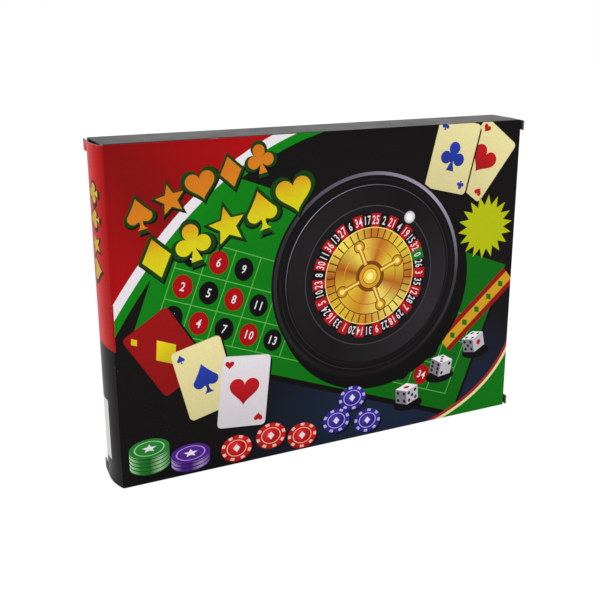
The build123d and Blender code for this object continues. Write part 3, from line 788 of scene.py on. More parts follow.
def fold_wall(along, up, depth, half_run, sheet_middle=0.0):
    """Sheet points on a wall of the sleeve: flat as far as half_run, then round its folds."""
    along, up = np.array(along, float), np.array(up, float)
    outward = np.cross(along, up)

    def place(points):
        from_middle = points[:, 1] - sheet_middle
        past = np.maximum(np.abs(from_middle) - half_run, 0) / FOLD_RADIUS
        straight = np.minimum(np.abs(from_middle), half_run)
        rise = np.sign(from_middle) * (straight + FOLD_RADIUS * np.sin(past))
        lift = depth - FOLD_RADIUS * (1 - np.cos(past))
        return MIDDLE + points[:, :1] * along + rise[:, None] * up + lift[:, None] * outward
    return place


def edge_wear(low_edge, high_edge):
    """Nearness to the outline of a straight sheet, from 0 to 1."""
    def wear(points):
        gap = np.minimum(HALF_WIDTH - np.abs(points[:, 0]),
                         np.minimum(points[:, 1] - low_edge, high_edge - points[:, 1]))
        return np.clip(1 - gap / WEAR_REACH, 0, 1)
    return wear


def fold_lines(low_edge, high_edge):
    """Lines across a sheet where its folds begin and bend, and beside its worn edges."""
    lines = []
    for run in (*(fold * FOLD_RUN / FOLD_STEPS for fold in range(FOLD_STEPS)), FOLD_RUN, WEAR_LINE):
        for level in (low_edge + run, high_edge - run):
            lines.append(((-HALF_WIDTH, level), (HALF_WIDTH, level)))
    for side in (-1, 1):
        across = side * (HALF_WIDTH - WEAR_LINE)
        lines.append(((across, low_edge), (across, high_edge)))
    return lines


# The back's print: a framed green field with a table of numbers below a row of motifs
back_print = []
draw(back_print, TALL_SHEET, BLACK)
for wide, tall, round_off, code in ((340, 240, 8, "2a6b30"), (337, 237, 7, "0a3d12"),
                                    (330, 230, 6, "2a6b30"), (328, 228, 5.5, "0b4a16")):
    draw(back_print, block((0, 140), wide, tall, round_off), ink(code))
for column in range(12):
    for row in range(3):
        spot = ((column - 5.5) * 25, 60 + row * 27)
        draw(back_print, block(spot, 25, 27), ink("5fae55"))
        draw(back_print, block(spot, 24, 26), ink("0b4a16"))
        draw(back_print, oval(spot, 8, 10, 28), RED if (column + row) % 2 else ink("0b0908"))
        draw(back_print, numeral(3 * column + row + 1, spot, 7.5), WHITE)
motif_row(back_print, ("spade", "heart", "star", "lozenge", "club"), (-120, 195), (120, 195), 42, 0,
          [YELLOW, ORANGE], ink("062a0c"))

tall_fold = (HALF_DEPTH, HEIGHT / 2 - FOLD_RADIUS, (SHEET_LOW + SHEET_HIGH) / 2)
for side, along, panel_print in (("front", (1, 0, 0), cover), ("back", (-1, 0, 0), back_print)):
    board_piece(f"{side}_wall", "case", [f"{side}_panel"], panel_print,
                fold_lines(SHEET_LOW, SHEET_HIGH), fold_wall(along, (0, 0, 1), *tall_fold),
                edge_wear(SHEET_LOW, SHEET_HIGH))
deep = HALF_DEPTH - FOLD_RADIUS + FOLD_RUN
for side, up in (("top", 1), ("bottom", -1)):
    board_piece(f"{side}_wall", "case", [f"{side}_panel"],
                [(SIGNS * (HALF_WIDTH, deep), BLACK)], fold_lines(-deep, deep),
                fold_wall((1, 0, 0), (0, up, 0), HEIGHT / 2, HALF_DEPTH - FOLD_RADIUS),
                edge_wear(-deep, deep))

# ---------------------------------------------------------------- closures
# The two end flaps of the sleeve. Each springs outwards between its crease and its tuck's
# crease, and slits cut into the tuck crease leave a stiff straight ear at each corner.

joints = {joint["name"]: joint for joint in frame["joints"]}
CREASE = np.array(joints["left_closure_hinge"]["pos_m"][:2]) / MM
TUCK_CREASE = np.array(joints["left_tuck_crease"]["pos_m"][:2]) / MM
SPAN = TUCK_CREASE[1] - CREASE[1]
BULGE = CREASE[0] - BOARD / 2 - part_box("left_closure")[0][0] / MM
BOW_RADIUS = (SPAN ** 2 / 4 + BULGE ** 2) / (2 * BULGE)
BOW_CENTRE = np.array([CREASE[0] + BOW_RADIUS - BULGE, (CREASE[1] + TUCK_CREASE[1]) / 2])
BOW_ANGLE = math.asin(SPAN / 2 / BOW_RADIUS)
CLOSURE_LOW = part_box("left_closure")[0][2] / MM
SLIT, SLIT_CUT, EAR_ANGLE = 9.5, 0.15, math.radians(5)
EAR_REACH = (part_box("left_closure")[1][1] / MM - BOW_CENTRE[1]) / math.cos(EAR_ANGLE)
BOW_RUN = 2 * BOW_ANGLE * BOW_RADIUS
EAR_START = (BOW_ANGLE + EAR_ANGLE) * BOW_RADIUS


def closure_line(run, is_ear, offset):
    """Point at a run along the closure's middle line, moved outwards by an offset."""
    angle = run / BOW_RADIUS - BOW_ANGLE
    bent = np.where(is_ear, np.minimum(angle, EAR_ANGLE), angle)
    straight = np.where(is_ear, np.maximum(run - EAR_START, 0), 0)
    reach = BOW_RADIUS + offset
    x = BOW_CENTRE[0] - reach * np.cos(bent) + straight * np.sin(bent)
    y = BOW_CENTRE[1] + reach * np.sin(bent) + straight * np.cos(bent)
    return x, y


def closure_place(points):
    """Sheet points on the left closure: x runs on from the front panel's, out to the left."""
    run = CREASE[0] - points[:, 0]
    is_ear = np.abs(points[:, 1] - HEIGHT / 2) > HEIGHT / 2 - SLIT + SLIT_CUT / 2
    x, y = closure_line(run, is_ear, BOARD / 2)
    return np.stack([x, y, points[:, 1]], 1)


ear_run = EAR_START + EAR_REACH - BOW_RADIUS * math.sin(EAR_ANGLE) / math.cos(EAR_ANGLE) - BOARD / 2
lower_side = (CREASE[0], 0) + np.array([
    (0, CLOSURE_LOW), (-ear_run, CLOSURE_LOW), (-ear_run, SLIT - SLIT_CUT), (-EAR_START, SLIT),
    (-BOW_RUN, SLIT + SLIT_CUT)])
upper_side = lower_side * (1, -1) + (0, HEIGHT)
outline = np.concatenate([lower_side, upper_side[::-1]])[::-1]


def closure_wear(points):
    """Nearness to the closure's cut ends, its crease and its tuck's crease."""
    run = CREASE[0] - points[:, 0]
    gap = np.minimum(np.minimum(run, BOW_RUN - run),
                     np.minimum(points[:, 1], HEIGHT - points[:, 1]) - CLOSURE_LOW)
    return np.clip(1 - gap / WEAR_REACH, 0, 1)


bend_lines = [((CREASE[0] - run, 0), (CREASE[0] - run, HEIGHT))
              for run in [*np.linspace(0, BOW_RUN, 41)[1:-1], WEAR_REACH, BOW_RUN - WEAR_REACH]]

left_print = []
draw(left_print, outline, BLACK)
near_edge, far_edge = CREASE[0] + 5, CREASE[0] - BOW_RUN - 6
# Painted reflection: the flap's red is painted lighter away from its crease, for the white surroundings that
# the curved flap reflects.
draw(left_print, np.array([(near_edge, 118), (near_edge, HEIGHT), (far_edge, HEIGHT), (far_edge, 126)]),
     fade([RED * 0.95, RED * 1.7, RED * 1.55, RED * 1.45], (CREASE[0], 0), (far_edge, 0)))
motif_row(left_print, ("heart", "star", "spade", "club"), (CREASE[0] - BOW_RUN * 0.42, 182),
          (CREASE[0] - BOW_RUN * 0.42, 242), 18, 90, [YELLOW, GOLD[5]], ink("3a0204"))
draw(left_print, block((CREASE[0] - BOW_RUN * 0.62, 47), BOW_RUN * 0.5, 52), ink("e6e2e2"))
right_print = []
draw(right_print, outline, BLACK)
draw(right_print, block((CREASE[0] - BOW_RUN / 2, HEIGHT / 2), BOW_RUN - 8, HEIGHT - 20, 3), ink("2a6b30"))
draw(right_print, block((CREASE[0] - BOW_RUN / 2, HEIGHT / 2), BOW_RUN - 10, HEIGHT - 22, 2), ink("0b3a14"))
motif_row(right_print, ("spade", "heart", "star", "lozenge", "club"), (CREASE[0] - BOW_RUN * 0.5, 60),
          (CREASE[0] - BOW_RUN * 0.5, 220), 19, 90, [YELLOW, ORANGE], INKY)


def as_drawn(place):
    """The piece where it is drawn: at the left end, and for a dust flap at the bottom too."""
    return place


def half_turn(place):
    """The same piece at the right end: turned half a turn about the carton's middle."""
    return lambda points: place(points) * (-1, -1, 1)


ENDS = (("left", as_drawn, left_print), ("right", half_turn, right_print))
for end, turn, panel_print in ENDS:
    board_piece(f"{end}_end_flap", f"{end}_closure", [f"{end}_closure"], panel_print,
                bend_lines, turn(closure_place), closure_wear)

# ---------------------------------------------------------------- tucks, dust flaps and glue tab
# The blank's inner flaps: black print outside and bare board inside, whose dark grey is partly
# painted shade. The glue tab is bare, because the back panel is glued to it.

TUCK_TOE_IN = math.radians(16)
TUCK_ROUND, TUCK_END = 9.0, 16.0
tuck_box = box_mm("left_tuck")
tuck_way = np.array([math.cos(TUCK_TOE_IN), -math.sin(TUCK_TOE_IN)])
tuck_out = np.array([math.sin(TUCK_TOE_IN), math.cos(TUCK_TOE_IN)])
TUCK_START = 0.8
tuck_middle = (tuck_box[0][2] + tuck_box[1][2]) / 2
tuck_half = (tuck_box[1][2] - tuck_box[0][2]) / 2


def tuck_place(points):
    """Sheet points on the left tuck: x runs from its crease, less than nothing, to its free edge."""
    flat = TUCK_CREASE - points[:, :1] * tuck_way + tuck_out * BOARD / 2
    return np.concatenate([flat, points[:, 1:]], 1)


def rounded_end(near, far, low, high, radius):
    """Outline of a flap whose two far corners are quarter circles; near lies right of far."""
    angle = np.linspace(0, math.pi / 2, 7)
    upper = np.stack([far + radius - radius * np.sin(angle), high - radius + radius * np.cos(angle)], 1)
    lower = np.stack([far + radius - radius * np.cos(angle), low + radius - radius * np.sin(angle)], 1)
    return np.concatenate([[(near, low), (near, high)], upper, lower])


def cut_wear(outline):
    """Nearness to a flap's own outline."""
    following = np.roll(outline, -1, 0)

    def wear(points):
        run = following - outline
        from_start = points[:, None] - outline
        share = np.clip((from_start * run).sum(2) / np.maximum((run * run).sum(1), 1e-9), 0, 1)
        gap = np.hypot(*np.moveaxis(from_start - share[..., None] * run, 2, 0)).min(1)
        return np.clip(1 - gap / WEAR_REACH, 0, 1)
    return wear


tuck_outline = rounded_end(-TUCK_START, -TUCK_END, tuck_middle - tuck_half, tuck_middle + tuck_half,
                           TUCK_ROUND)
tuck_lines = [((-run, 0), (-run, HEIGHT)) for run in (WEAR_LINE, TUCK_END - WEAR_LINE)]

dust_box = box_mm("left_bottom_dust_flap")
DUST_TAPER, DUST_SETBACK, DUST_ROUND, SHOULDER = 0.45, 6.5, 5.0, 5.45
root_y, shoulder_y, dust_top = dust_box[0][1], dust_box[1][1], dust_box[1][2]
free_y = shoulder_y - DUST_SETBACK
slant = np.array([root_y + DUST_TAPER * (dust_top - BOARD / 2), dust_top])


def dust_outline():
    """Flap outline seen from outside, its x turned round because it is seen from the left."""
    angle = np.linspace(0, math.pi / 2, 6)
    lean = math.atan(DUST_TAPER)
    near = slant + np.array([DUST_ROUND * math.tan((math.pi / 2 - lean) / 2), -DUST_ROUND])
    spread = np.linspace(math.pi / 2, math.pi - lean, 6)
    corner = near + DUST_ROUND * np.stack([np.cos(spread), np.sin(spread)], 1)
    far = np.array([free_y - DUST_ROUND, dust_top - DUST_ROUND]) + DUST_ROUND * np.stack(
        [np.cos(angle), np.sin(angle)], 1)
    foot = [(root_y, BOARD / 2), (shoulder_y, BOARD / 2), (shoulder_y, SHOULDER + BOARD / 2),
            (free_y, SHOULDER + DUST_SETBACK + BOARD / 2)]
    loop = np.concatenate([foot, far, corner])
    return (loop * (-1, 1))[::-1]


dust_loop = dust_outline()
dust_lines = [((-30, 2.6), (30, 2.6))]


def dust_place(points):
    """Sheet points on the left bottom dust flap."""
    return np.stack([np.full(len(points), CREASE[0] - BOARD / 2), -points[:, 0], points[:, 1]], 1)


def upside_down(place):
    """The same piece at the top of the carton, mirrored about the middle of its height."""
    return lambda points: place(points) * (1, 1, -1) + (0, 0, HEIGHT)


LEVELS = (("lower", "bottom", as_drawn), ("upper", "top", upside_down))
for end, turn, _ in ENDS:
    board_piece(f"{end}_tuck_flap", f"{end}_tuck", [f"{end}_tuck"], [(tuck_outline, BLACK)],
                tuck_lines, turn(tuck_place), cut_wear(tuck_outline))
    for word, side, flip in LEVELS:
        flap = f"{end}_{side}_dust_flap"
        board_piece(f"{end}_{word}_dust_board", flap, [flap], [(dust_loop, BLACK)],
                    dust_lines, turn(flip(dust_place)), cut_wear(dust_loop),
                    inside_out=flip is upside_down)


def paint(node, material):
    """A CAD node's surface, in place of the plain one it comes with."""
    for place in frame["nodes"][node].material_slots:
        place.material = material


paint("glue_tab", grey_back_and_painted_shade)

# ---------------------------------------------------------------- creases
# Short strips of the same board, crushed where the blank is folded.
# The two that lead to the closures carry the closure's print, and the others are black.


def fold_line(first, first_way, last, last_way):
    """Curve from one board's face to the next: leaves along the first, arrives along the last."""
    first, last = np.array(first), np.array(last)
    way = np.array([first_way, -np.array(last_way)]).T
    corner = first + np.array(first_way) * np.linalg.solve(way, last - first)[0]

    def at(share):
        share = share[:, None]
        return (1 - share) ** 2 * first + 2 * share * (1 - share) * corner + share ** 2 * last
    return at


def crease_piece(name, bodies, line, span, levels, put, sheet, turn, inside_out=False):
    """A printed strip that follows a fold line; sheet x goes over span, and put sets it in space."""
    outline = np.array([(span[1], levels[0]), (span[0], levels[0]), (span[0], levels[1]),
                        (span[1], levels[1])])

    def place(points):
        share = (points[:, 0] - span[0]) / (span[1] - span[0])
        return put(line(share), points[:, 1])

    bends = [((x, levels[0]), (x, levels[1])) for x in np.linspace(*span, 8)[1:-1]]
    ends = turn(place)(np.array([(x, (levels[0] + levels[1]) / 2) for x in span])) * MM
    board_piece(name, (*bodies, *ends), [], [(outline, BLACK)] + sheet, bends, turn(place),
                lambda points: np.full(len(points), 0.8), inside_out=inside_out)


def standing(flat, level):
    """Points of an upright fold: the line seen from above, and the height."""
    return np.concatenate([flat, level[:, None]], 1)


def lying(flat, level):
    """Points of a dust flap's fold: the line seen from the front, and the depth."""
    return np.stack([flat[:, 0], -level, flat[:, 1]], 1)


bow_out = np.array([math.sin(BOW_ANGLE), math.cos(BOW_ANGLE)])
closure_start = np.stack(closure_line(np.array([0.0]), False, BOARD / 2), 1)[0]
closure_end = np.stack(closure_line(np.array([BOW_RUN]), False, BOARD / 2), 1)[0]
hinge_line = fold_line((-HALF_WIDTH, -HALF_DEPTH), (-1, 0), closure_start, bow_out * (-1, 1))
tuck_line = fold_line(closure_end, bow_out,
                      TUCK_CREASE + TUCK_START * tuck_way + tuck_out * BOARD / 2, tuck_way)
dust_line = fold_line((-HALF_WIDTH, 0), (-1, 0), (CREASE[0] - BOARD / 2, BOARD / 2), (0, 1))
for end, turn, panel_print in ENDS:
    crease_piece(f"{end}_closure_fold", ("case", f"{end}_closure"), hinge_line, (-HALF_WIDTH, CREASE[0]),
                 (CLOSURE_LOW, HEIGHT - CLOSURE_LOW), standing, panel_print[1:], turn)
    crease_piece(f"{end}_tuck_fold", (f"{end}_closure", f"{end}_tuck"), tuck_line, (0, -TUCK_START),
                 (tuck_middle - tuck_half, tuck_middle + tuck_half), standing, [], turn)
    for word, side, flip in LEVELS:
        crease_piece(f"{end}_{word}_dust_fold", ("case", f"{end}_{side}_dust_flap"), dust_line, (0, -BOARD),
                     (-shoulder_y, -root_y), lying, [],
                     lambda place, turn=turn, flip=flip: turn(flip(place)), inside_out=flip is upside_down)

# ---------------------------------------------------------------- insert
# The insert is one sheet of black polystyrene, drawn by vacuum over a mould, so its pockets
# have soft edges, and its face has the fine grain of the sheet and some rubbed marks.


def softened(node, body, material, width):
    """A CAD node's own shape with its seams closed and its edges rounded off."""
    mesh = frame["nodes"][node].data.copy()
    shape = bmesh.new()
    shape.from_mesh(mesh)
    bmesh.ops.remove_doubles(shape, verts=shape.verts, dist=2e-6)
    bmesh.ops.dissolve_limit(shape, angle_limit=math.radians(0.6), verts=shape.verts, edges=shape.edges)
    shape.to_mesh(mesh)
    shape.free()
    mesh.materials.clear()
    mesh.materials.append(material)
    smooth(mesh)
    piece = placed(f"{node}_finished", mesh)
    round_off = piece.modifiers.new("rounded edges", "BEVEL")
    round_off.width = width * MM
    round_off.segments = 2
    round_off.angle_limit = math.radians(32)
    round_off.harden_normals = True
    hand_over(piece, body, [node])


def mapped(tree, vector, **moves):
    """Coordinates moved, turned or stretched."""
    return add_node(tree, "ShaderNodeMapping", {"Vector": vector, **moves}).outputs[0]


# Scratches and dust that dull a moulded surface: fine noise, a haze and thin drawn-out marks.
handled, given, way_out = effect("handled_plastic", ("Color", "Color"), ("Place", "Vector"),
                                 ("Amount", "Float"))
haze = noise(handled, given["Place"], 35.0, 4.0)
sheet_grain = noise(handled, given["Place"], 2200.0, 2.0)
drawn_out = mapped(handled, given["Place"], Rotation=(0.3, 0.5, 0.8), Scale=(900, 40, 900))
marks = ramp(handled, noise(handled, drawn_out, 1.0, 2.0), 0.66, 0.74)
dull = times(handled, times(handled, haze, 0.6), times(handled, marks, 0.5), "ADD")
dull = times(handled, dull, given["Amount"])
give_back(handled, way_out,
          mixed(handled, times(handled, dull, 0.25), given["Color"], (0.32, 0.31, 0.30)),
          times(handled, times(handled, dull, 0.5), 0.16, "ADD"),
          times(handled, sheet_grain, times(handled, marks, -0.5), "ADD"))


def plastic(name, colour, amount, **sockets):
    """Moulded plastic of one colour, or of the ink kept on the piece's own corners."""
    material, tree, shader, place = finish(name, **sockets)
    if colour is None:
        own = add_node(tree, "ShaderNodeAttribute", attribute_name="ink").outputs["Color"]
    else:
        own = (*colour, 1)
    wear_onto(tree, shader, {"Place": place, "Amount": amount, "Color": own}, handled, 0.00004)
    return material


sheet_plastic = plastic("black_polystyrene", (0.010, 0.010, 0.011), 0.6)
softened("insert_tray", "tray", sheet_plastic, 0.35)

# ---------------------------------------------------------------- wheel bowl, rotor and pin
# The bowl is one black moulding with a rolled rim and a dished ball track. The rotor disc
# turns in its well on a headed steel pin.

low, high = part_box("wheel_bowl")
WHEEL_X, WHEEL_Z = (low[0] + high[0]) / 2 / MM, (low[2] + high[2]) / 2 / MM
BOWL_BACK = high[1] / MM
BOWL_RADIUS = (high[0] - low[0]) / 2 / MM
SKIN, RIM, RIM_ROLL = 2.2, 33.0, 5.0
WELL, WELL_ROUND = 71.0, 1.2                # the well that the rotor turns in
PIN_HOLE, HOLE_ROUND = 4.0, 0.6
TRACK_START, TRACK_RUN, TRACK_DISH = (WELL + SKIN, 12.8), (31.0, 8.6), 8.0
FENCE_FOOT = (104.4, 21.4)


def grid_faces(rows, columns, start):
    """Quads of a grid of points whose columns run round and close on themselves."""
    down, across = np.meshgrid(np.arange(rows - 1), np.arange(columns), indexing="ij")
    right = (across + 1) % columns
    quads = np.stack([down * columns + across, down * columns + right,
                      (down + 1) * columns + right, (down + 1) * columns + across], -1)
    return quads.reshape(-1, 4) + start


def spun(profile, steps):
    """A profile of (radius, height) carried round the axis: (r cos a, r sin a, h) for each angle a."""
    profile = np.array(profile, float)
    angle = np.linspace(0, 2 * math.pi, steps, endpoint=False)
    radius, height = profile[:, :1], profile[:, 1:]
    return np.stack([radius * np.cos(angle), radius * np.sin(angle), height + 0 * angle], -1)


def made(name, body, nodes, material, shells, inks=None, sharp=40):
    """One piece from several closed shells, each an array of points over rows and columns.

    Points that fall together at an axis are merged, and the faces are turned outwards.
    """
    points, faces, start = [], [], 0
    for shell in shells:
        rows, columns = shell.shape[:2]
        points.append(shell.reshape(-1, 3))
        faces.append(grid_faces(rows, columns, start))
        start += rows * columns
    mesh = mesh_of(name, np.concatenate(points) * MM, np.concatenate(faces))
    if inks is not None:
        keep_inks(mesh, np.repeat(np.concatenate([ink_of.reshape(-1, 3) for ink_of in inks]), 4, axis=0))
    shape = bmesh.new()
    shape.from_mesh(mesh)
    bmesh.ops.remove_doubles(shape, verts=shape.verts, dist=2e-6)
    bmesh.ops.recalc_face_normals(shape, faces=shape.faces)
    shape.to_mesh(mesh)
    shape.free()
    mesh.materials.append(material)
    smooth(mesh)
    mesh.set_sharp_from_angle(angle=math.radians(sharp))
    hand_over(placed(name, mesh), body, nodes)


def facing_front(points):
    """Points about the wheel's axis, with their height standing out of the bowl's back."""
    return np.stack([WHEEL_X + points[..., 0], BOWL_BACK - points[..., 2], WHEEL_Z + points[..., 1]], -1)


def arc(centre, radius, start, end, count=9):
    """Points of an arc in a profile, from one angle to another, in degrees."""
    angle = np.radians(np.linspace(start, end, count))
    return [(centre[0] + radius * math.cos(a), centre[1] + radius * math.sin(a)) for a in angle]


def closed(profile):
    """A profile whose last point is its first, so that it sweeps out a closed skin."""
    return list(profile) + [profile[0]]


share = np.linspace(0, 1, 15)[1:-1]
track = [(TRACK_START[0] + TRACK_RUN[0] * s, TRACK_START[1] + TRACK_RUN[1] * s - TRACK_DISH * s * (1 - s))
         for s in share]
below = [(r + 0.5, h - SKIN) for r, h in track][::-1]
rim_centre = (BOWL_RADIUS - SKIN / 2 - RIM_ROLL, RIM - RIM_ROLL - SKIN / 2)
outer, inner = RIM_ROLL + SKIN / 2, RIM_ROLL - SKIN / 2
hole = PIN_HOLE + HOLE_ROUND
bowl_profile = closed(
    [(hole, 0), (WELL + 0.5, 0)] + arc((WELL + 0.5, 1.7), 1.7, -90, 0, 4) + [(WELL + SKIN, 10.2)] + below
    + [(FENCE_FOOT[0] + 1.2, FENCE_FOOT[1] - 2.8), (rim_centre[0] - inner, rim_centre[1])]
    + arc(rim_centre, inner, 180, 0)
    + [(BOWL_RADIUS - SKIN, 0.5), (BOWL_RADIUS - SKIN + 0.5, 0), (BOWL_RADIUS - 0.5, 0), (BOWL_RADIUS, 0.5)]
    + arc(rim_centre, outer, 0, 180, 13) + [FENCE_FOOT] + track[::-1]
    + arc((WELL + 0.9, 11.6), 0.9, 60, 180, 5) + [(WELL, SKIN + WELL_ROUND)]
    + arc((WELL - WELL_ROUND, SKIN + WELL_ROUND), WELL_ROUND, 0, -90, 4)
    + [(hole, SKIN)] + arc((hole, SKIN - HOLE_ROUND), HOLE_ROUND, 90, 180, 3)
    + arc((hole, HOLE_ROUND), HOLE_ROUND, 180, 270, 3)[:-1])
bowl_plastic = plastic("bowl_plastic", (0.012, 0.011, 0.012), 0.35, Coat_Weight=0.3)
made("wheel_bowl_finished", "tray", ["wheel_bowl"], bowl_plastic,
     [facing_front(spun(bowl_profile, 144))], sharp=50)

ROTOR_EDGE, ROTOR_ROUND, ROTOR_BORE, BORE_CHAMFER = 70.2, 0.75, 3.05, 0.3
ROTOR_BACK, ROTOR_FRONT = 3.4, 6.4
edge = ROTOR_EDGE - ROTOR_ROUND
rotor_profile = closed(
    [(ROTOR_BORE, ROTOR_BACK + BORE_CHAMFER), (ROTOR_BORE + BORE_CHAMFER, ROTOR_BACK),
     (edge - 0.05, ROTOR_BACK)]
    + arc((edge, ROTOR_BACK + ROTOR_ROUND), ROTOR_ROUND, -90, 0, 5)[1:]
    + arc((edge, ROTOR_FRONT - ROTOR_ROUND), ROTOR_ROUND, 0, 90, 5)
    + [(ROTOR_BORE + BORE_CHAMFER, ROTOR_FRONT), (ROTOR_BORE, ROTOR_FRONT - BORE_CHAMFER)])
rotor_plastic = plastic("rotor_plastic", (0.016, 0.015, 0.016), 0.4)
made("rotor_disc_finished", "wheel", ["rotor_disc"], rotor_plastic,
     [facing_front(spun(rotor_profile, 128))])

turned_steel, tree, shader, place = finish("turned_steel", Metallic=1.0, Roughness=0.28)
lathe_lines = noise(tree, mapped(tree, place, Scale=(60, 4000, 60)), 1.0, 2.0)
tint(tree, shader, lathe_lines, (0.50, 0.49, 0.47), (0.66, 0.66, 0.65))
bumped(tree, shader, lathe_lines, 0.00003)
softened("axle_pin", "tray", turned_steel, 0.25)

# ---------------------------------------------------------------- number ring
# A shallow dish of plastic with 37 printed fields in the order of a one-zero wheel, in red
# and black by turns with a green zero, and thin gilt lines at both edges.

ring_front = box_mm("number_ring")[0][1]
RING_HEIGHTS = (BOWL_BACK - ring_front - 2.6, BOWL_BACK - ring_front)
RING_RADII = (54.5, 69.0)
GILT = ink("c99a32")


def on_ring(points):
    """Flat points lifted onto the dish: the height grows with the distance from the axis."""
    radius = np.hypot(points[:, 0], points[:, 1])
    height = np.interp(radius, RING_RADII, RING_HEIGHTS) + 0.14
    return facing_front(np.concatenate([points, height[:, None]], 1))


paint("number_ring", plastic("ring_plastic", (0.016, 0.015, 0.016), 0.3))
ring_print = [(oval((0, 0), RING_RADII[1] - 0.15, count=148), GILT)]
draw(ring_print, oval((0, 0), RING_RADII[1] - 0.7, count=148), INKY)
for place_on_ring, number in enumerate(WHEEL_ORDER):
    middle = place_on_ring * FIELD_TURN
    half_field = FIELD_TURN / 2 - 0.006
    draw(ring_print, sector((0, 0), RING_RADII[0] + 1.0, RING_RADII[1] - 1.0, middle - half_field,
                            middle + half_field, 4), field_ink(place_on_ring))
    draw(ring_print, numeral(number, beside((0, 0), 62.2, middle), 7.4, math.degrees(middle) - 90, 0.72),
         WHITE)
draw(ring_print, oval((0, 0), RING_RADII[0] + 0.8, count=148), GILT)
draw(ring_print, oval((0, 0), RING_RADII[0] + 0.2, count=148), INKY)
flat, triangles, inks = cut_sheet(ring_print, [])
whole = np.hypot(*flat[triangles].mean(1).T) > RING_RADII[0] + 0.15
used, renumbered = np.unique(triangles[whole], return_inverse=True)
mesh = mesh_of("number_ring_print", on_ring(flat[used]) * MM, renumbered.reshape(-1, 3))
keep_inks(mesh, inks[whole])
mesh.materials.append(plastic("printed_ring", None, 0.3, Specular_IOR_Level=0.4))
ring_face = placed("number_ring_print", mesh)
thicken(ring_face, 0.1)
hand_over(ring_face, "wheel", [])

# ---------------------------------------------------------------- cone and turret
# Both are mouldings in plastic with a vacuum-laid gold coat. The cone's frets part the
# pockets, and the turret's four knobbed arms are what the player spins the wheel by.

gold_coat, tree, shader, place = finish("gold_coat", Metallic=1.0, Coat_Weight=0.25)
cloudy = noise(tree, place, 120.0, 3.0)
tint(tree, shader, cloudy, (0.78, 0.46, 0.09), (0.95, 0.66, 0.20))
tree.links.new(ramp(tree, cloudy, 0.3, 0.7, 0.16, 0.30), shader.inputs["Roughness"])
bumped(tree, shader, cloudy, 0.00006)
softened("wheel_cone", "wheel", gold_coat, 0.22)
softened("turret", "wheel", gold_coat, 0.35)

# ---------------------------------------------------------------- chips
# Moulded chips on edge in one roll, eleven of each colour. Each has a raised rim with pale
# blocks let into it, and a sunk face on both sides.

low, high = box_mm("green_chips")
ROLL_X, ROLL_Y = (low + high)[:2] / 2
CHIP, CHIP_PITCH, CHIPS = 3.1, 3.2, 11
CHIP_RADIUS, FACE_RADIUS, FACE_SINK = 17.0, 11.4, 0.35
chip_half = [(0.0, FACE_SINK), (FACE_RADIUS, FACE_SINK), (FACE_RADIUS + 0.5, 0.0), (CHIP_RADIUS - 0.7, 0.0),
             (CHIP_RADIUS - 0.15, 0.3), (CHIP_RADIUS, 0.8)]
chip_profile = chip_half + [(radius, CHIP - height) for radius, height in chip_half[::-1]]
edge_block = (np.arange(64) % 8) < 3
band_inner = np.array([min(a[0], b[0]) for a, b in zip(chip_profile, chip_profile[1:])])[:, None, None]
chips_ink = plastic("chip_plastic", None, 0.5)
for roll, (colour, code, pale) in enumerate((("green", "147a34", "e9ecd8"), ("purple", "4a2a96", "e6def2"),
                                             ("red", "b3141a", "f3e2cf"))):
    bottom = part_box(f"{colour}_chips")[0][2] / MM
    body_ink = np.where((band_inner > FACE_RADIUS + 0.2) & edge_block[None, :, None], ink(pale), ink(code))
    body_ink = np.where((band_inner < 1) & np.ones((1, 64, 1), bool), ink(code) * 0.8, body_ink)
    shells = []
    for count in range(CHIPS):
        shell = spun(chip_profile, 64)
        shell[..., :2] = turned(shell[..., :2], 23.0 * count + 40 * roll)
        shells.append(shell + (ROLL_X, ROLL_Y, bottom + count * CHIP_PITCH))
    made(f"{colour}_chips_finished", "tray", [f"{colour}_chips"], chips_ink, shells,
         [body_ink] * CHIPS, 30)

# ---------------------------------------------------------------- dice and balls
# Ivory coloured dice with rounded edges and painted pips sunk into them, the ace in red, and
# two polished white balls with the faint line of their mould.

ivory = plastic("ivory_plastic", (0.72, 0.69, 0.60), 0.35, Subsurface_Weight=0.05, Subsurface_Scale=0.002)
softened("dice", "tray", ivory, 0.5)
low, high = box_mm("dice")
DIE = high[2] - low[2]
pip_profile = [(0.0, 0.05), (0.62, 0.08), (1.12, 0.14), (1.2, 0.02), (1.2, -0.3), (0.0, -0.3)]
first_die, pitch = low + DIE / 2, (high[0] - low[0] - DIE) / 2
pips, pip_inks = [], []
for die_place, faces_up in enumerate(((1, 2, 3), (5, 1, 4), (3, 6, 5))):
    middle = np.array([first_die[0] + die_place * pitch, (low[1] + high[1]) / 2, first_die[2]])
    for axis, front_spots in enumerate(faces_up):
        for side, count in ((-1, front_spots), (1, 7 - front_spots)):
            for spot in PIPS[count]:
                shell = spun(pip_profile, 14) + (*(3.4 * PIP_GRID[spot]), DIE / 2)
                turned_round = np.roll(shell, axis + 1, axis=-1) * np.where(np.arange(3) == axis, side, 1)
                pips.append(turned_round + middle)
                code = "a01018" if count == 1 else "121012"
                pip_inks.append(np.tile(ink(code), (len(pip_profile) - 1, 14, 1)))
made("dice_pips", "tray", [], plastic("pip_paint", None, 0.2), pips, pip_inks)

white_plastic = plastic("ball_plastic", (0.80, 0.79, 0.76), 0.2, Coat_Weight=0.4)
low, high = box_mm("roulette_balls")
BALL = (high[2] - low[2]) / 2
seam = [(BALL - 0.04, -0.12), (BALL - 0.04, 0.12)]
ball_profile = arc((0, 0), BALL, -90, -2, 20) + seam + arc((0, 0), BALL, 2, 90, 20)
made("roulette_balls_finished", "tray", ["roulette_balls"], white_plastic,
     [spun(ball_profile, 48) + (x, (low[1] + high[1]) / 2, (low[2] + high[2]) / 2)
      for x in (low[0] + BALL, high[0] - BALL)])

# ---------------------------------------------------------------- note pack
# Play notes squared up by hand, with their cut edges a little in and out. A band of brown
# paper round their middle holds them together.

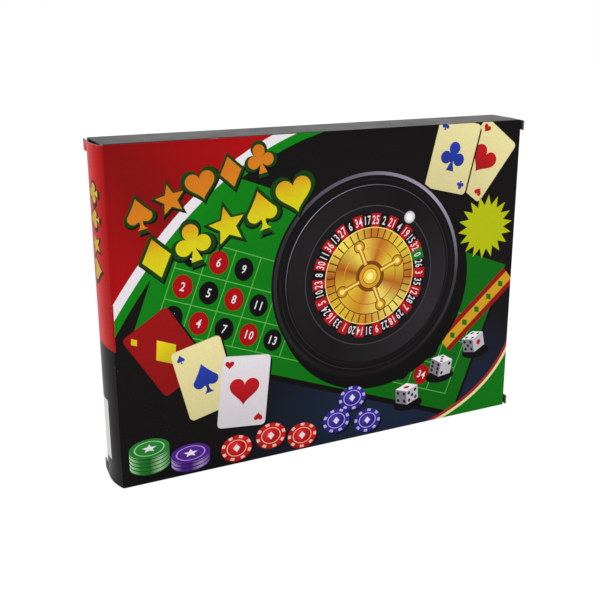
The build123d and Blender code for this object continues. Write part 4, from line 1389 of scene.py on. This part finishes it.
note_low, note_high = box_mm("note_pack")
note_size = note_high - note_low
LEAVES = 30
leaf = (note_size[1] - 0.3) / LEAVES
jog = np.random.default_rng(4).uniform(-0.28, -0.02, (LEAVES, 2))
half_note = note_size[[0, 2]] / 2
layers = []
for place_in_pack, moved in enumerate(jog):
    corners = np.clip(SIGNS * (half_note - 0.02) + moved * 0.5, -half_note, half_note) * 0.994
    for depth in (0.05, 0.9):
        level = np.full(4, note_low[1] + 0.15 + (place_in_pack + depth) * leaf)
        layers.append(np.stack([corners[:, 0], level, corners[:, 1]], 1))
ends_closed = [np.tile(layers[0].mean(0), (4, 1)), *layers, np.tile(layers[-1].mean(0), (4, 1))]
pack_middle = np.array([(note_low[0] + note_high[0]) / 2, 0, (note_low[2] + note_high[2]) / 2])
note_paper, tree, shader, place = finish("note_paper", Roughness=0.8, Specular_IOR_Level=0.2)
from_middle = mapped(tree, place, Location=tuple(-pack_middle * MM))
rings = add_node(tree, "ShaderNodeTexWave", {"Vector": from_middle, "Scale": 260.0, "Distortion": 6.0,
                                            "Detail": 2.0, "Detail Scale": 0.6},
                 wave_type="RINGS", rings_direction="Y").outputs[1]
fibres = noise(tree, place, 1800.0, 4.0)
tone = mixed(tree, ramp(tree, rings, 0.45, 0.75), (0.80, 0.78, 0.68), (0.42, 0.62, 0.48))
tint(tree, shader, times(tree, fibres, 0.3), tone, (0.62, 0.58, 0.48))
bumped(tree, shader, fibres, 0.00006)
made("note_pack_finished", "tray", ["note_pack"], note_paper,
     [np.stack(ends_closed) + pack_middle], sharp=30)

BAND, BAND_REACH = 0.16, 9.0                # the band's thickness, and half of its width
inside = SIGNS * (note_size[0] / 2 + 0.02, note_size[1] / 2 - 0.02) + (0, (note_low[1] + note_high[1]) / 2)
band_loops = [np.c_[inside + SIGNS * grow, np.full(4, end * BAND_REACH)]
              for end, grow in ((-1, 0), (-1, BAND), (1, BAND), (1, 0), (-1, 0))]
band_paper, tree, shader, place = finish("band_paper", Roughness=0.7, Specular_IOR_Level=0.25)
fibres = noise(tree, place, 900.0, 4.0)
tint(tree, shader, fibres, (0.50, 0.30, 0.14), (0.64, 0.42, 0.22))
bumped(tree, shader, fibres, 0.00008)
made("note_band", "tray", [], band_paper, [np.stack(band_loops) + pack_middle], sharp=30)

# ---------------------------------------------------------------- rake
# A black moulded head with turned-in ends, and a turned stick of stained and varnished beech
# whose tenon is glued into the head's socket.

softened("rake_head", "tray", plastic("rake_plastic", (0.013, 0.012, 0.013), 0.5), 0.6)
stick_wood, tree, shader, place = finish("stick_wood", Roughness=0.3, Coat_Weight=0.5, Coat_Roughness=0.12)
figure = noise(tree, mapped(tree, place, Scale=(900, 900, 22)), 1.0, 5.0)
pore = ramp(tree, noise(tree, mapped(tree, place, Scale=(5000, 5000, 160)), 1.0, 2.0), 0.62, 0.70)
tint(tree, shader, pore, mixed(tree, figure, (0.20, 0.09, 0.035), (0.42, 0.22, 0.09)), (0.10, 0.04, 0.02))
bumped(tree, shader, figure, 0.00005)
paint("rake_stick", stick_wood)

# ---------------------------------------------------------------- felt layout
# The betting layout is a sheet of green felt with a printed grid, folded across and then
# across again, so that four layers lie flat behind the insert.

felt_low, felt_high = box_mm("felt_layout")
FELT = 0.6
LAYER = 0.38                                # half of the way from one layer to the next
FIRST_FOLD, SECOND_FOLD = LAYER, 2 * LAYER
felt_size = felt_high - felt_low
half_flat = (felt_size[0] - FIRST_FOLD - 1.2, felt_size[2] - SECOND_FOLD - 1.6)


def folded(run, radius, gap):
    """Across one fold: how far a point lies from the fold, and how far it leans to one side.

    A run along the sheet goes round half a circle of the given radius about the fold, whose
    layers lie that much further apart by a gap, and then straight on at both sides.
    """
    turn = np.clip(run / radius, -math.pi / 2, math.pi / 2)
    beyond = np.abs(run) - radius * math.pi / 2
    out = np.where(beyond > 0, beyond, -(radius + gap) * np.cos(turn))
    return out + SECOND_FOLD, (radius + gap) * np.sin(turn)


def runs(half, clear, count, fold):
    """Places along the sheet: evenly spaced on both sides of a fold, and close together round it."""
    flat = np.linspace(clear, half, count)
    return np.concatenate([-flat[::-1], np.linspace(-1, 1, 13) * math.pi / 2 * fold, flat])


across, up = np.meshgrid(runs(half_flat[0], 4, 40, FIRST_FOLD), runs(half_flat[1], 6, 34, SECOND_FOLD),
                         indexing="ij")
ripple = 0.03 * np.sin(across * 0.05 + 1) * np.sin(up * 0.037)
out_x, lean_one = folded(across, FIRST_FOLD, 0)
out_z, lean_two = folded(up, SECOND_FOLD, lean_one)
depth = (felt_low[1] + felt_high[1]) / 2 + lean_two + ripple
felt_points = np.stack([felt_low[0] + out_x + FELT / 2, depth, felt_high[2] - out_z - FELT / 2], -1)
rows, columns = across.shape
down, right = np.meshgrid(np.arange(rows - 1), np.arange(columns - 1), indexing="ij")
quads = np.stack([down * columns + right, (down + 1) * columns + right, (down + 1) * columns + right + 1,
                  down * columns + right + 1], -1).reshape(-1, 4)
mesh = mesh_of("felt_layout_folded", felt_points.reshape(-1, 3) * MM, quads)
flat_places = np.stack([across, up], -1).reshape(-1, 2)[quads.ravel()] * MM
mesh.uv_layers.new(name="layout").data.foreach_set("uv", flat_places.ravel())
smooth(mesh)
green_felt, tree, shader, place = finish("green_felt", Roughness=0.95, Sheen_Weight=0.35, Sheen_Roughness=0.5,
                                         Specular_IOR_Level=0.1)
layout_map = add_node(tree, "ShaderNodeUVMap", uv_map="layout").outputs[0]
tangle = noise(tree, layout_map, 2600.0, 5.0)
wisps = noise(tree, layout_map, 300.0, 3.0)
BLACK_PAINT, WHITE_PAINT = (0, 0, 0, 1), (1, 1, 1, 1)
printed = add_node(tree, "ShaderNodeTexBrick", {"Vector": layout_map, "Scale": 1.0, "Mortar Size": 0.0009,
                                               "Brick Width": 0.046, "Row Height": 0.052,
                                               "Mortar Smooth": 0.2, "Color1": BLACK_PAINT,
                                               "Color2": BLACK_PAINT, "Mortar": WHITE_PAINT}, offset=0.0)
cloth_tone = mixed(tree, times(tree, tangle, wisps, "ADD"), (0.0, 0.12, 0.03), (0.01, 0.24, 0.07))
tint(tree, shader, times(tree, printed.outputs[0], 0.75), cloth_tone, (0.75, 0.72, 0.45))
bumped(tree, shader, tangle, 0.0002)
mesh.materials.append(green_felt)
felt_sheet = placed("felt_layout_folded", mesh)
thicken(felt_sheet, FELT, offset=0)
hand_over(felt_sheet, "tray", ["felt_layout"])

# ---------------------------------------------------------------- leaflet
# One sheet of offset paper, printed with the rules in lines and columns. It lies loose and
# flat behind the insert.

leaflet_paper, tree, shader, place = finish("leaflet_paper", Roughness=0.75, Specular_IOR_Level=0.25)
fibres = noise(tree, place, 1500.0, 4.0)
lying_flat = mapped(tree, place, Rotation=(math.pi / 2, 0, 0))
ruled = add_node(tree, "ShaderNodeTexBrick", {"Vector": lying_flat, "Scale": 1.0, "Mortar Size": 0.0007,
                                             "Brick Width": 0.062, "Row Height": 0.0052,
                                             "Mortar Smooth": 0.3, "Color1": (0.80, 0.79, 0.75, 1),
                                             "Color2": (0.77, 0.76, 0.72, 1),
                                             "Mortar": (0.45, 0.45, 0.46, 1)}, offset=0.0)
tint(tree, shader, times(tree, fibres, 0.3), ruled.outputs[0], (0.72, 0.70, 0.64))
bumped(tree, shader, fibres, 0.00005)
paint("rules_leaflet", leaflet_paper)
